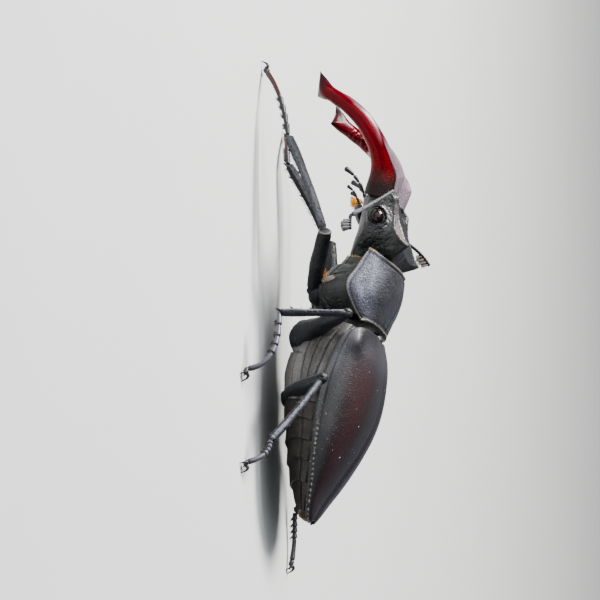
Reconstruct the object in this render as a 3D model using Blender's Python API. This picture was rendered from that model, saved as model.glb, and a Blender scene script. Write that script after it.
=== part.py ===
"""Male European stag beetle, life size, standing on six feet with its forebody raised and its jaws open.

The beetle faces -Y, +X is its own left side, +Z is up and its feet stand on Z = 0.
Sizes are in millimetres up to the one place where a mesh is made, which turns them into metres.
Each plate of the shell, each eye, jaw, feeler and leg piece is a closed solid of its own, parted from its
neighbours by a thin gap.
"""

from math import pi, radians

import bmesh
import bpy
import numpy as np
from mathutils import Vector

MM = 0.001
GAP = 0.3                      # clear space between two pieces
ROOF_GAP = 0.55                # and between the hind body and the wing cases above it
SHELL = 0.9                    # thickness of a wing case and of the neck shield
FINEST = 0.27                  # least radius of a feeler, claw or spine

# Trunk: the hind body and the prothorax share one axis, which rises towards the head.
TRUNK_PITCH = 15.0             # degrees
TRUNK_BASE = (0.0, 4.9, 11.2)  # front edge of the wing cases, at the height of their side margins
CASE_LENGTH = 26.3
SUTURE = 0.12                  # half of the slit between the wing cases

# Head: turned a little down from level.
HEAD_PITCH = -12.0
HEAD_ROLL = 2.0                # degrees, left side up
HEAD_BASE = (0.0, -4.0, 16.0)
EYE_CENTRE = (7.9, -5.2, 0.9)
EYE_RADII = (0.85, 1.0, 0.88)

# Profiles along the trunk. y runs backwards from the front edge of the wing cases.
#              y      top   margin  bottom
HIND_BODY = [(0.0,   4.5,   1.8,   -4.6),
             (3.0,   5.8,   0.8,   -6.2),
             (6.0,   6.4,   0.3,   -6.8),
             (11.0,  6.6,   0.2,   -6.0),
             (15.5,  5.65,  0.7,   -4.4),
             (20.0,  4.0,   1.2,   -2.9),
             (23.8,  2.5,   1.3,   -1.2),
             (26.3,  1.75,  1.25,   0.4)]
#              y      half width of the wing cases
CASE_PLAN = [(0.0,   8.5),
             (1.2,   9.3),
             (5.0,   9.9),
             (10.8, 10.4),
             (15.7,  9.9),
             (19.8,  8.4),
             (23.2,  6.1),
             (25.2,  3.8),
             (26.3,  1.7)]
THORAX_END = 11.6              # where the metasternum meets the first belly ring
SCUTELLUM_PLACE = -0.45        # y of the small plate in front of the wing cases
SCUTELLUM_SIZE = (1.5, 0.35)   # its half width and half length
SCUTELLUM_HEIGHTS = (3.0, 4.1)

# Neck shield. v runs from its front edge to its back edge.
#               v      y mid  z mid   x side  y side  z side   z belly
SHIELD = [(0.0,  -9.3,   5.1,   7.4,  -10.7,   1.0,   -2.2),
          (0.3,  -6.8,   5.5,   8.5,   -7.6,   0.2,   -4.6),
          (0.55, -4.7,   5.4,   9.35,  -5.0,  -0.45,  -5.7),
          (0.8,  -2.6,   4.95,  8.5,   -2.6,   0.9,   -5.7),
          (1.0,  -1.0,   4.45,  7.5,   -0.9,   2.5,   -4.8)]

# Head. y runs backwards from HEAD_BASE, so the face is at negative y. Half outlines of its cross-sections:
#          y     crown z   crest x, z   keel x, z    cheek x, z   jowl x, z    throat z
HEAD = [(2.4,  -0.2,      3.2, -0.4,   4.0, -0.9,  4.6, -2.0,   3.6, -3.5,   -4.1),
        (1.2,   0.3,      3.7, 0.1,    4.4, -0.5,  4.9, -1.6,   4.4, -3.8,   -4.6),
        (0.35,  1.4,      4.6, 1.1,    5.0, 0.2,   5.2, -1.4,   4.7, -4.0,   -4.9),
        (-0.5,  3.0,      6.7, 3.95,   7.0, 3.7,   5.6, -0.9,   5.0, -4.0,   -4.9),
        (-1.6,  3.2,      6.4, 3.7,    7.5, 3.1,   6.2, -0.8,   5.3, -3.8,   -4.8),
        (-2.8,  3.3,      6.2, 3.6,    7.7, 2.75,  7.4, -0.5,   5.6, -3.1,   -4.0),
        (-4.8,  3.4,      6.1, 3.5,    7.0, 3.1,   8.1, 0.2,    5.9, -1.8,   -2.9),
        (-6.2,  3.5,      6.1, 3.8,    6.9, 3.4,   7.7, 0.8,    5.8, -1.2,   -2.3),
        (-7.6,  3.5,      6.2, 4.1,    7.1, 3.5,   7.3, 1.3,    5.5, -0.7,   -1.7),
        (-8.8,  3.2,      5.6, 3.5,    6.6, 2.8,   6.6, 1.3,    5.0, -0.4,   -1.1)]
HEAD_STATIONS = (2.4, 1.3, 0.35, -0.5, -1.6, -2.8, -4.3, -5.6, -7.0, -8.0, -8.8)

# Jaw, in the head's own axes. t runs from root to tip.
#           t      x     y      z     half height  half width
JAW = [(0.0,   5.2,   -8.6,  1.5,   1.95,  2.20),
       (0.14,  6.2,  -11.6,  2.85,  1.62,  1.75),
       (0.27,  7.8,  -13.8,  3.1,   1.40,  1.40),
       (0.42,  9.3,  -16.1,  2.65,  1.25,  1.25),
       (0.56, 10.1,  -18.3,  1.75,  1.15,  1.15),
       (0.7,  10.3,  -20.4,  0.35,  1.02,  1.05),
       (0.82,  9.9,  -22.0, -1.05,  0.92,  0.95),
       (0.91,  9.4,  -23.4, -1.95,  0.88,  0.80),
       (1.0,   8.9,  -26.2, -2.30,  0.30,  0.30)]
# Humps raised from the tube: at is the angle round it, from the outer side over the top.
#               t     width  at     spread  shift x, y, z
JAW_TEETH = [(0.10, 0.20,  118.0, 45.0,  (-0.6, 0.0, 1.5)),
             (0.56, 0.060, 185.0, 50.0,  (-2.6, -0.6, -0.4)),
             (0.70, 0.040, 190.0, 40.0,  (-0.5, -0.2, 0.0)),
             (0.91, 0.055, 215.0, 50.0,  (-1.5, -0.2, -1.0))]
JAW_STATIONS = (0, 0.06, 0.13, 0.22, 0.32, 0.42, 0.5, 0.53, 0.56, 0.59, 0.62, 0.66, 0.7, 0.74, 0.8,
                0.85, 0.89, 0.925, 0.96, 1)

# Legs. Left and right feet differ, as the beetle is walking. The foot leaves the ankle towards its bend.
#                    hip                knee               ankle              bend               toe
LEGS = {
    "front_left":   ((5.3, -0.2, 6.95),  (12.2, -6.3, 9.6),  (11.2, -19.9, 4.6),
                     (10.2, -26.1, 3.75), (6.2, -30.2, 0.80)),
    "front_right":  ((-5.3, -0.2, 7.6),  (-9.5, -9.4, 6.9),  (-6.6, -20.3, 1.7),
                     (-7.5, -22.9, 1.3), (-10.5, -25.2, 0.75)),
    "middle_left":  ((6.0, 6.2, 5.3),    (14.2, 5.1, 13.0),  (17.6, 5.4, 4.6),
                     (20.0, 12.9, 5.1),  (20.6, 13.4, 0.75)),
    "middle_right": ((-6.0, 6.2, 5.3),   (-14.6, 4.4, 12.0), (-18.6, 3.6, 3.8),
                     (-20.4, 8.4, 2.6),  (-24.0, 11.0, 0.75)),
    "hind_left":    ((6.2, 14.3, 3.7),   (15.0, 13.8, 9.8),  (17.2, 22.2, 3.4),
                     (19.3, 24.8, 3.6),  (20.4, 25.6, 0.75)),
    "hind_right":   ((-6.2, 14.3, 3.7),  (-14.6, 16.6, 9.2), (-15.0, 26.7, 1.3),
                     (-16.4, 30.2, 1.1), (-15.5, 33.4, 0.75)),
}
HIP_CENTRES = {"front": (3.6, 0.3, 7.7), "middle": (3.9, 6.3, 5.0), "hind": (3.9, 14.4, 3.6)}
HIP_RADII = {"front": (2.5, 1.9, 1.6), "middle": (2.2, 1.9, 1.4), "hind": (2.6, 1.3, 1.1)}
#                t     half height  half width
FEMUR = [(0.0,  0.62,  0.55),
         (0.15, 1.05,  0.75),
         (0.45, 1.50,  0.95),
         (0.8,  1.00,  0.80),
         (1.0,  0.68,  0.62)]
MIDDLE_FEMUR = [(0.0,  0.90,  1.30),
                (0.1,  1.25,  1.85),
                (0.25, 1.35,  1.60),
                (0.45, 1.45,  1.10),
                (0.8,  1.00,  0.80),
                (1.0,  0.68,  0.62)]
FORE_FEMUR = [(0.0,  0.62,  0.55),
              (0.15, 0.88,  0.70),
              (0.45, 1.10,  0.95),
              (0.8,  1.08,  0.86),
              (1.0,  1.00,  0.80)]
FEMURS = {"front": FORE_FEMUR, "middle": MIDDLE_FEMUR, "hind": FEMUR}
TIBIA = [(0.0,  0.48,  0.46),
         (0.12, 0.48,  0.46),
         (0.6,  0.47,  0.46),
         (0.9,  0.54,  0.52),
         (1.0,  0.46,  0.44)]
FORE_SHANK = 1.12              # how much stouter the fore legs' shanks are
TOE_RINGS = 4                  # short rings of the foot, before its long last one
CLAW_REACH = 0.8               # length of a claw
CLAW_SPREAD = 0.75             # half of the distance between the tips

FEELERS = {
    "left":  ((7.7, -12.7, 18.2), (11.1, -8.8, 13.1), (12.1, -8.4, 12.95), (13.2, -6.4, 13.2)),
    "right": ((-7.7, -12.3, 16.5), (-12.5, -10.0, 17.3), (-14.6, -9.0, 19.1), (-16.0, -7.5, 19.9)),
}
COMB_REACH = (0.0, 0.0, -1.2)  # how far the leaves of the comb hang from its stem
COMB_LEAVES = 4

MANIFOLD_CUTS = ("hind_thorax", "prothorax")  # bodies that the exact solver empties

COLOURS = {
    #               base colour             roughness
    "black_shell":  ((0.016, 0.015, 0.017), 0.38),
    "brown_shell":  ((0.034, 0.018, 0.018), 0.30),
    "red_jaw":      ((0.190, 0.006, 0.010), 0.20),
    "leg_shell":    ((0.024, 0.023, 0.028), 0.34),
    "foot_shell":   ((0.030, 0.010, 0.010), 0.40),
    "eye":          ((0.018, 0.008, 0.010), 0.10),
    "gold_hair":    ((0.820, 0.400, 0.060), 0.60),
}


# ---------------------------------------------------------------- curves and grids

def through(keys, t):
    """Smooth curve through keys of (parameter, value, value, ...), read at t. Returns one row per t."""
    keys = np.array(keys, float)
    order = np.argsort(keys[:, 0])
    knots, values = keys[order, 0], keys[order, 1:]
    slopes = np.gradient(values, knots, axis=0)
    t = np.atleast_1d(np.asarray(t, float))
    i = np.clip(np.searchsorted(knots, t) - 1, 0, len(knots) - 2)
    step = (knots[i + 1] - knots[i])[:, None]
    s = np.clip((t[:, None] - knots[i][:, None]) / step, 0, 1)
    return (values[i] * (1 + 2 * s) * (1 - s) ** 2 + slopes[i] * step * s * (1 - s) ** 2
            + values[i + 1] * s * s * (3 - 2 * s) + slopes[i + 1] * step * s * s * (s - 1))


def unit(v):
    return v / np.maximum(np.linalg.norm(v, axis=-1, keepdims=True), 1e-9)


def bent_path(start, control, end, count):
    """Points on a curve that leaves start towards control and arrives at end from control."""
    t = np.linspace(0, 1, count)[:, None]
    start, control, end = (np.array(p, float) for p in (start, control, end))
    return (1 - t) ** 2 * start + 2 * t * (1 - t) * control + t ** 2 * end


def tube(path, high, wide, up, sides):
    """Rings round a path: ellipses of half height high and half width wide, with their tall axis near up."""
    path = np.array(path, float)
    ahead = unit(np.gradient(path, axis=0))
    aside = unit(np.cross(np.broadcast_to(np.array(up, float), path.shape), ahead))
    above = np.cross(ahead, aside)
    turn = np.arange(sides) * 2 * pi / sides
    high, wide = (np.broadcast_to(v, len(path)).reshape(-1, 1, 1) for v in (high, wide))
    return (path[:, None] + aside[:, None] * np.cos(turn)[None, :, None] * wide
            + above[:, None] * np.sin(turn)[None, :, None] * high)


# ---------------------------------------------------------------- meshes

def axes(name, location, pitch, roll=0.0):
    """Frame of reference, pitched front up and rolled left side up."""
    obj = bpy.data.objects.new(name, None)
    bpy.context.scene.collection.objects.link(obj)
    obj.location = Vector(location) * MM
    obj.rotation_euler = (radians(-pitch), radians(-roll), 0)
    return obj


def material(name):
    found = bpy.data.materials.get(name)
    if found:
        return found
    colour, roughness = COLOURS[name]
    made = bpy.data.materials.new(name)
    made.use_nodes = True
    shader = made.node_tree.nodes["Principled BSDF"]
    shader.inputs["Base Color"].default_value = (*colour, 1)
    shader.inputs["Roughness"].default_value = roughness
    shader.inputs["Metallic"].default_value = 0
    return made


def add_object(name, bm, finish, parent=None):
    bmesh.ops.recalc_face_normals(bm, faces=bm.faces)
    mesh = bpy.data.meshes.new(name)
    bm.to_mesh(mesh)
    bm.free()
    mesh.shade_smooth()
    mesh.set_sharp_from_angle(angle=radians(50))
    mesh.materials.append(material(finish))
    obj = bpy.data.objects.new(name, mesh)
    bpy.context.scene.collection.objects.link(obj)
    obj.parent = parent
    return obj


def add_vertices(bm, points):
    return [bm.verts.new(Vector(p) * MM) for p in points]


def add_strip(bm, first, second, closed):
    """Quads between two rows of vertices."""
    count = len(first)
    for i in range(count if closed else count - 1):
        j = (i + 1) % count
        bm.faces.new((first[i], first[j], second[j], second[i]))


def rings_object(name, rings, finish, parent=None):
    """Closed solid through a stack of rings, each end drawn together to its middle."""
    bm = bmesh.new()
    rows = [add_vertices(bm, ring) for ring in rings]
    for first, second in zip(rows, rows[1:]):
        add_strip(bm, first, second, closed=True)
    for row, ring in ((rows[0], rings[0]), (rows[-1], rings[-1])):
        middle = add_vertices(bm, [np.mean(ring, axis=0)])[0]
        for i, vertex in enumerate(row):
            bm.faces.new((vertex, row[(i + 1) % len(row)], middle))
    return add_object(name, bm, finish, parent)


def plate_object(name, outer, inner, finish, parent=None):
    """Closed solid between two grids of points of the same shape."""
    bm = bmesh.new()
    sheets = [[add_vertices(bm, row) for row in grid] for grid in (outer, inner)]
    for rows in sheets:
        for first, second in zip(rows, rows[1:]):
            add_strip(bm, first, second, closed=False)
    top, under = sheets
    for i in (0, -1):
        add_strip(bm, top[i], under[i], closed=False)
        add_strip(bm, [row[i] for row in top], [row[i] for row in under], closed=False)
    return add_object(name, bm, finish, parent)


def ball_object(name, centre, radii, finish, parent=None, detail=(14, 9)):
    bm = bmesh.new()
    bmesh.ops.create_uvsphere(bm, u_segments=detail[0], v_segments=detail[1], radius=1)
    bmesh.ops.scale(bm, vec=Vector(radii) * MM, verts=bm.verts)
    bmesh.ops.translate(bm, vec=Vector(centre) * MM, verts=bm.verts)
    return add_object(name, bm, finish, parent)


def cut(target, tool):
    """Cuts the tool out of the target and keeps it as a hidden cutter."""
    tool.hide_render = True
    tool.display_type = "WIRE"
    modifier = target.modifiers.new("cut_" + tool.name, "BOOLEAN")
    modifier.object = tool
    modifier.operation = "DIFFERENCE"
    modifier.solver = "MANIFOLD" if target.name in MANIFOLD_CUTS else "EXACT"


def carve(target, *neighbours):
    """Cuts each neighbour, swollen by the gap, out of the target."""
    for neighbour in neighbours:
        swollen = bpy.data.objects.new("cutter_" + neighbour.name, neighbour.data.copy())
        bpy.context.scene.collection.objects.link(swollen)
        swollen.parent = neighbour.parent
        bm = bmesh.new()
        bm.from_mesh(neighbour.data)
        bm.normal_update()
        for vertex in bm.verts:
            vertex.co += vertex.normal * GAP * MM
        bm.to_mesh(swollen.data)
        bm.free()
        cut(target, swollen)


# ---------------------------------------------------------------- wing cases and hind body

def hind_profile(y):
    """Half width, top, margin height and belly height of the hind body at y, as columns."""
    body = through(HIND_BODY, y)
    return (c[:, None] for c in (through(CASE_PLAN, y)[:, 0], body[:, 0], body[:, 1], body[:, 2]))


def arch(half_width, top, margin, y, turn):
    """Rounded roof from the middle line (turn 0) down to the side margin (turn pi/2)."""
    x = half_width * np.sin(turn) ** 0.92
    z = margin + (top - margin) * np.cos(turn) ** 0.85
    return np.stack(np.broadcast_arrays(x, y[:, None], z), axis=-1)


CASE_STATIONS = np.concatenate([np.linspace(0.1, 2.2, 3), np.linspace(4.6, 22.6, 8),
                                [24.4, 25.6, CASE_LENGTH]])
UNDERCUT = 0.35                # how far the belly's flank stands inside the wing cases' margin
ARCH_TURNS = np.linspace(0, pi / 2, 9)[None]
ROOF_TURNS = np.linspace(0, pi / 2, 5)[None]


def case_walls(half_width, top, margin):
    """Thickness of a wing case at its margin and at its top: thinner where the case itself is small."""
    return np.minimum(SHELL, 0.35 * half_width), np.minimum(SHELL, 0.5 * (top - margin))


def wing_case(name, side, trunk):
    half_width, top, margin, _ = hind_profile(CASE_STATIONS)
    outer = arch(half_width, top, margin, CASE_STATIONS, ARCH_TURNS)
    wall, roof = case_walls(half_width, top, margin)
    inner = arch(half_width - wall, top - roof, margin, CASE_STATIONS, ARCH_TURNS)
    for grid in (outer, inner):
        grid[..., 0] = side * np.maximum(grid[..., 0], SUTURE)
    return plate_object(name, outer, inner, "brown_shell", trunk)


def belly_solid(name, stations, trunk):
    """Solid under the wing cases: it fills their arch up to the gap and rounds the belly below it."""
    half_width, top, margin, belly = hind_profile(stations)
    wall, drop = case_walls(half_width, top, margin)
    roof = arch(half_width - wall - ROOF_GAP, top - drop - ROOF_GAP, margin - GAP, stations, ROOF_TURNS)
    turn = np.linspace(0, pi / 2, 7)[None]
    x = (half_width - UNDERCUT) * np.cos(turn) ** 0.8
    z = (margin - GAP) + (belly - margin + GAP) * np.sin(turn) ** 0.9
    under = np.stack(np.broadcast_arrays(x, stations[:, None], z), axis=-1)
    half = np.concatenate([roof, under], axis=1)
    other = half[:, -2:0:-1] * (-1, 1, 1)
    return rings_object(name, np.concatenate([half, other], axis=1), "black_shell", trunk)


def build_hind_body(trunk):
    for side, name in ((1, "wing_case_left"), (-1, "wing_case_right")):
        wing_case(name, side, trunk)
    thorax = belly_solid("hind_thorax", np.linspace(0.1, THORAX_END, 6), trunk)
    abdomen = belly_solid("abdomen", np.linspace(THORAX_END + GAP, CASE_LENGTH - 0.4, 7), trunk)
    return thorax, abdomen


# ---------------------------------------------------------------- neck shield and prothorax

SHIELD_ROWS = np.array([0.0, 0.13, 0.27, 0.41, 0.55, 0.67, 0.8, 0.9, 1.0])
FLANK_INSET = 1.1              # how far the prothorax stands inside the shield's side margins


def shield_grid(drop, narrow, rows, across):
    """Domed sheet between the side margins: drop lowers it and narrow draws its sides in."""
    y_mid, z_mid, x_side, y_side, z_side, _ = through(SHIELD, rows).T[:, :, None]
    turn = across * pi / 2
    x = (x_side - narrow) * np.sin(turn)
    y = y_mid + (y_side - y_mid) * np.abs(across) ** 2.2
    z = z_side + (z_mid - drop - z_side) * np.cos(turn) ** 0.8
    return np.stack(np.broadcast_arrays(x, y, z), axis=-1)


def build_prothorax(trunk):
    across = np.linspace(-1, 1, 15)[None]
    plate_object("neck_shield", shield_grid(0, 0, SHIELD_ROWS, across),
                 shield_grid(SHELL, SHELL, SHIELD_ROWS, across), "black_shell", trunk)
    rows = np.linspace(0.06, 0.94, 7)
    roof = shield_grid(SHELL + ROOF_GAP, SHELL + ROOF_GAP, rows, np.linspace(-0.88, 0.88, 7)[None])
    _, _, x_side, y_side, z_side, z_belly = through(SHIELD, rows).T[:, :, None]
    turn = np.linspace(0, pi, 13)[None]
    x = (x_side - FLANK_INSET) * np.sign(np.cos(turn)) * np.abs(np.cos(turn)) ** 0.85
    z = z_side - 0.2 + (z_belly - z_side + 0.2) * np.sin(turn) ** 0.7
    y = y_side * 0.86 - 0.4
    under = np.stack(np.broadcast_arrays(x, y, z), axis=-1)
    return rings_object("prothorax", np.concatenate([roof, under], axis=1), "black_shell", trunk)


def build_scutellum(trunk):
    """Small plate between the roots of the wing cases."""
    turn = np.linspace(0, 2 * pi, 12, endpoint=False)
    half_width, half_length = SCUTELLUM_SIZE
    outline = np.stack([half_width * np.cos(turn), half_length * np.sin(turn), 0 * turn], axis=-1)
    rings = [outline + (0, SCUTELLUM_PLACE, z) for z in SCUTELLUM_HEIGHTS]
    return rings_object("scutellum", rings, "black_shell", trunk)


# ---------------------------------------------------------------- head

def head_rings(stations, per_half):
    """Cross-sections of the head: each is a smooth curve from crown to throat, mirrored."""
    keys = through(HEAD, stations)
    rings = []
    for y, (crown, xr, zr, xd, zd, xc, zc, xj, zj, throat) in zip(stations, keys):
        half = through([(0.0, 0.0, crown), (0.22, xr * 0.72, crown + 0.25 * (zr - crown)), (0.36, xr, zr),
                        (0.5, xd, zd), (0.66, xc, zc), (0.84, xj, zj), (1.0, 0.0, throat)],
                       np.linspace(0, 1, per_half))
        half = np.stack([half[:, 0], np.full(per_half, y), half[:, 1]], axis=-1)
        rings.append(np.concatenate([half, half[-2:0:-1] * (-1, 1, 1)]))
    return rings


def jaw_rings(side, t, sides, teeth=JAW_TEETH, grow=0.0):
    """Curved, tapering jaw. Its teeth and forked tip are smooth humps raised from the tube."""
    x, y, z, high, wide = through(JAW, t).T
    rings = tube(np.stack([x, y, z], axis=-1), high + grow, wide + grow, (0, 0, 1), sides)
    angle = np.degrees(np.arange(sides) * 2 * pi / sides)[None]
    for place, width, at, spread, shift in teeth:
        off = (angle - at + 180) % 360 - 180
        hump = np.maximum(0, 1 - np.abs(t[:, None] - place) / width) ** 1.2 * np.exp(-((off / spread) ** 2))
        rings = rings + hump[..., None] * np.array(shift)
    return rings * (side, 1, 1)


def build_jaw(name, side, skull, head):
    """Jaw, and the socket for its root in the front of the head."""
    rings_object("jaw_" + name, jaw_rings(side, np.array(JAW_STATIONS), 10), "red_jaw", head)
    root = jaw_rings(side, np.linspace(0, 0.25, 5), 10, JAW_TEETH[:1], GAP)
    root[0] += (0, GAP, 0)
    cut(skull, rings_object("jaw_root_" + name, root, "red_jaw", head))


def build_mouth(head):
    """Upper lip, orange tongue brush and the jaw palps."""
    ball_object("upper_lip", (0, -9.9, 1.4), (2.0, 0.8, 0.8), "black_shell", head, detail=(8, 5))
    ball_object("tongue_brush", (0, -9.7, -1.9), (0.6, 0.75, 1.2), "gold_hair", head, detail=(8, 5))
    radius = np.linspace(0.3, 0.4, 7)
    for side, name in ((1, "left"), (-1, "right")):
        palp = bent_path((side * 2.4, -9.3, -0.5), (side * 3.4, -12.0, -0.4), (side * 4.0, -13.6, -2.1), 7)
        rings_object("palp_" + name, tube(palp, radius, radius, (0, 0, 1), 6), "foot_shell", head)


def build_head(head):
    skull = rings_object("head", head_rings(np.array(HEAD_STATIONS), 13), "black_shell", head)
    for side, name in ((1, "left"), (-1, "right")):
        eye = ball_object("eye_" + name, (side * EYE_CENTRE[0], *EYE_CENTRE[1:]), EYE_RADII, "eye", head,
                          detail=(10, 6))
        carve(skull, eye)
        build_jaw(name, side, skull, head)
    build_mouth(head)
    return skull


def build_feeler(name, points):
    """Long first joint, then a short chain of beads that ends in a comb of four leaves."""
    root, elbow, comb, tip = (np.array(p) for p in points)
    radius = FINEST + 0.12 * np.linspace(0, 1, 6) ** 2
    scape = bent_path(root, (root + elbow) / 2 + (0, 0, 0.35), elbow, 6)
    rings_object("feeler_stem_" + name, tube(scape, radius, radius, (0, 0, 1), 6), "leg_shell")
    along = np.linspace(0, 1, 17)
    beads = bent_path(elbow + 0.6 * unit(comb - elbow), comb, tip, 17)
    leaf = np.where(along > 0.3, 0.5 - 0.5 * np.cos((along - 0.25) * 2 * pi * COMB_LEAVES), 0)
    rings = tube(beads, 0.28, 0.3, (0, 0, 1), 6)
    reach = np.maximum(0, -np.sin(np.arange(6) * 2 * pi / 6))[None, :, None]
    rings_object("feeler_comb_" + name, rings + leaf[:, None, None] * reach * COMB_REACH, "leg_shell")


# ---------------------------------------------------------------- legs

def limb(name, start, end, profile, scale, bow, finish, sides=8, steps=6):
    """Straight or slightly bowed limb piece between two joints, taller than it is wide."""
    start, end = np.array(start, float), np.array(end, float)
    t = np.linspace(0, 1, steps)
    path = bent_path(start, (start + end) / 2 + np.array([0, 0, bow]), end, steps)
    high, wide = through(profile, t).T * scale
    return rings_object(name, tube(path, high, wide, (0, 0, 1), sides), finish)


def foot_radius(t):
    """Four short rings that widen to their far ends, then a long slim one that thickens at the claws."""
    short = 0.5
    ring = (t / short * TOE_RINGS) % 1
    return np.where(t < short, 0.36 + 0.10 * ring, 0.34 + 0.08 * ((t - short) / (1 - short)) ** 2)


def foot(name, ankle, bend, toe):
    """Foot that leaves the ankle towards its bend and comes down to the toe."""
    t = np.linspace(0, 1, 12)
    path = bent_path(ankle, bend, toe, 12)
    return rings_object(name, tube(path, foot_radius(t), foot_radius(t), (0, 0, 1), 6), "foot_shell"), path


def claws(name, path):
    """Pair of hooked claws in one piece: a curved tube from one tip round the root to the other tip."""
    toe = path[-1]
    ahead = unit((path[-1] - path[-3]) * (1, 1, 0))
    aside = np.array([-ahead[1], ahead[0], 0])
    s = np.linspace(-1, 1, 9)[:, None]
    height = 0.62 + 0.35 * np.sin(np.abs(s) * pi) - 0.42 * np.abs(s) ** 3
    points = ((toe + ahead * (0.4 + GAP)) * (1, 1, 0) + CLAW_REACH * s ** 2 * ahead
              + CLAW_SPREAD * np.sin(1.3 * s) * aside + height * (0, 0, 1))
    radius = FINEST + 0.12 * (1 - s[:, 0] ** 2)
    return rings_object(name, tube(points, radius, radius, (0, 0, 1), 5), "foot_shell")


def stand_on_floor(obj):
    """Cuts off what lies below the floor, which leaves small flats."""
    bm = bmesh.new()
    bm.from_mesh(obj.data)
    floor = bmesh.ops.bisect_plane(bm, geom=bm.verts[:] + bm.edges[:] + bm.faces[:], plane_co=(0, 0, 0),
                                   plane_no=(0, 0, 1), clear_inner=True)
    rim = [e for e in floor["geom_cut"] if isinstance(e, bmesh.types.BMEdge)]
    bmesh.ops.contextual_create(bm, geom=rim)
    bmesh.ops.holes_fill(bm, edges=[e for e in bm.edges if e.is_boundary])
    bmesh.ops.recalc_face_normals(bm, faces=bm.faces)
    bm.to_mesh(obj.data)
    bm.free()


def build_leg(name, points):
    """Hip, thigh, shank, foot and claws. Returns the hip and the thigh."""
    hip, knee, ankle, bend, toe = (np.array(p, float) for p in points)
    pair, flank = name.split("_")
    side = 1 if flank == "left" else -1
    stout = FORE_SHANK if pair == "front" else 1.0
    x, y, z = HIP_CENTRES[pair]
    hip_ball = ball_object("hip_" + name, (side * x, y, z), HIP_RADII[pair], "leg_shell", detail=(8, 5))
    femur = FEMURS[pair]
    thigh = limb("thigh_" + name, hip, knee + 0.5 * unit(knee - hip), femur, 1.0, 0.0, "leg_shell")
    shank = limb("shank_" + name, knee, ankle, TIBIA, stout, 0.5, "leg_shell")
    foot_piece, path = foot("foot_" + name, ankle + unit(ankle - knee) * 0.15, bend, toe)
    carve(hip_ball, thigh)
    carve(thigh, shank)
    carve(shank, foot_piece)
    stand_on_floor(claws("claws_" + name, path))
    return hip_ball, thigh


# ---------------------------------------------------------------- whole beetle

def clear_scene():
    for obj in list(bpy.data.objects):
        bpy.data.objects.remove(obj, do_unlink=True)


def centre_on_floor():
    """Puts the middle of the model's footprint at the origin and its feet on the floor."""
    bpy.context.view_layer.update()
    depsgraph = bpy.context.evaluated_depsgraph_get()
    solids = [obj for obj in bpy.data.objects if obj.type == "MESH" and not obj.hide_render]
    points = [obj.matrix_world @ vertex.co for obj in solids
              for vertex in obj.evaluated_get(depsgraph).data.vertices]
    low, high = np.min(points, axis=0), np.max(points, axis=0)
    middle = Vector(((low[0] + high[0]) / 2, (low[1] + high[1]) / 2, low[2]))
    for obj in bpy.data.objects:
        if obj.parent is None:
            obj.location -= middle


def build():
    clear_scene()
    trunk = axes("trunk_axes", TRUNK_BASE, TRUNK_PITCH)
    head = axes("head_axes", HEAD_BASE, HEAD_PITCH, HEAD_ROLL)
    hind_thorax, abdomen = build_hind_body(trunk)
    prothorax = build_prothorax(trunk)
    build_scutellum(trunk)
    skull = build_head(head)
    for name, points in FEELERS.items():
        build_feeler(name, points)
    for name, points in LEGS.items():
        hip, thigh = build_leg(name, points)
        carve(prothorax if name.startswith("front") else hind_thorax, hip, thigh)
        if name.startswith("hind"):
            carve(abdomen, hip, thigh)
    carve(prothorax, skull)
    centre_on_floor()


build()
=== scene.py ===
"""Looks of a life-size male stag beetle on its six feet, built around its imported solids.

The beetle faces -Y, +X is its own left side, +Z is up and its claws stand on Z = 0. Sizes are in
millimetres up to the one place where a mesh is made. A plate, limb or jaw is a grid of points worked out
from a formula, raised or sunk along its normals by a second formula, its relief.
"""
from itertools import product

import bmesh
import bpy
import numpy as np
from mathutils import Matrix, Vector


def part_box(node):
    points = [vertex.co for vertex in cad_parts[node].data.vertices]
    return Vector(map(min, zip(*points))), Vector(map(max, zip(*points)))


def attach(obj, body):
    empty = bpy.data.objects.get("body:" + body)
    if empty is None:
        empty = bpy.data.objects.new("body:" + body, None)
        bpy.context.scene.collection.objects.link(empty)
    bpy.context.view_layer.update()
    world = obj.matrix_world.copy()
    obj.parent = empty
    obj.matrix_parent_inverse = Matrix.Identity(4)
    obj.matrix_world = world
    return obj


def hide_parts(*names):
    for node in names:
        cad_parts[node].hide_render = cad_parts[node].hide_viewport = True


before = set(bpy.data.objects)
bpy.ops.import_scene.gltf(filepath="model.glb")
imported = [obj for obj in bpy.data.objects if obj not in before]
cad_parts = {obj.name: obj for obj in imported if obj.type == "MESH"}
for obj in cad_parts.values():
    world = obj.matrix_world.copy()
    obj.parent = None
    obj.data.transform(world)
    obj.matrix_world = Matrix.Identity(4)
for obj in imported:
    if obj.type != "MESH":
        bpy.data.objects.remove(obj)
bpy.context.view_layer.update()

MM = 0.001
BAKE_PATCH = 0.003             # width of a hair's patch on its bake map
GOLDEN_ANGLE = 2.4             # radians
pi = np.pi
rng = np.random.default_rng(11)

# ---------------------------------------------------------------- sizes and places

SIDES = ((1, "left"), (-1, "right"))
GAP = 0.3                      # clear space between two solids
TRUNK_PITCH = 15.0             # degrees that the trunk's front end is raised
TRUNK_BASE = (0.0, 4.9, 11.2)
HEAD_PITCH = -12.0
HEAD_ROLL = 2.0                # degrees, left side up
HEAD_BASE = (0.0, -4.0, 16.0)
EYE_CENTRE = (7.9, -5.2, 0.9)
EYE_RADII = (0.85, 1.0, 0.88)

CASE_LENGTH = 26.3
CASE_WALL = 0.5                # thickness of a wing case
SUTURE = 0.03                  # half of the slit between the wing cases
UNDERCUT = 0.35                # how far the belly's flank stands inside the wing cases' margin
THORAX_END = 11.6
RING_ENDS = (11.9, 14.7, 17.3, 19.8, 22.5, 25.9)  # y of the borders between the belly rings
SHIELD_WALL = 0.6
FLANK_INSET = 1.1

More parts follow.
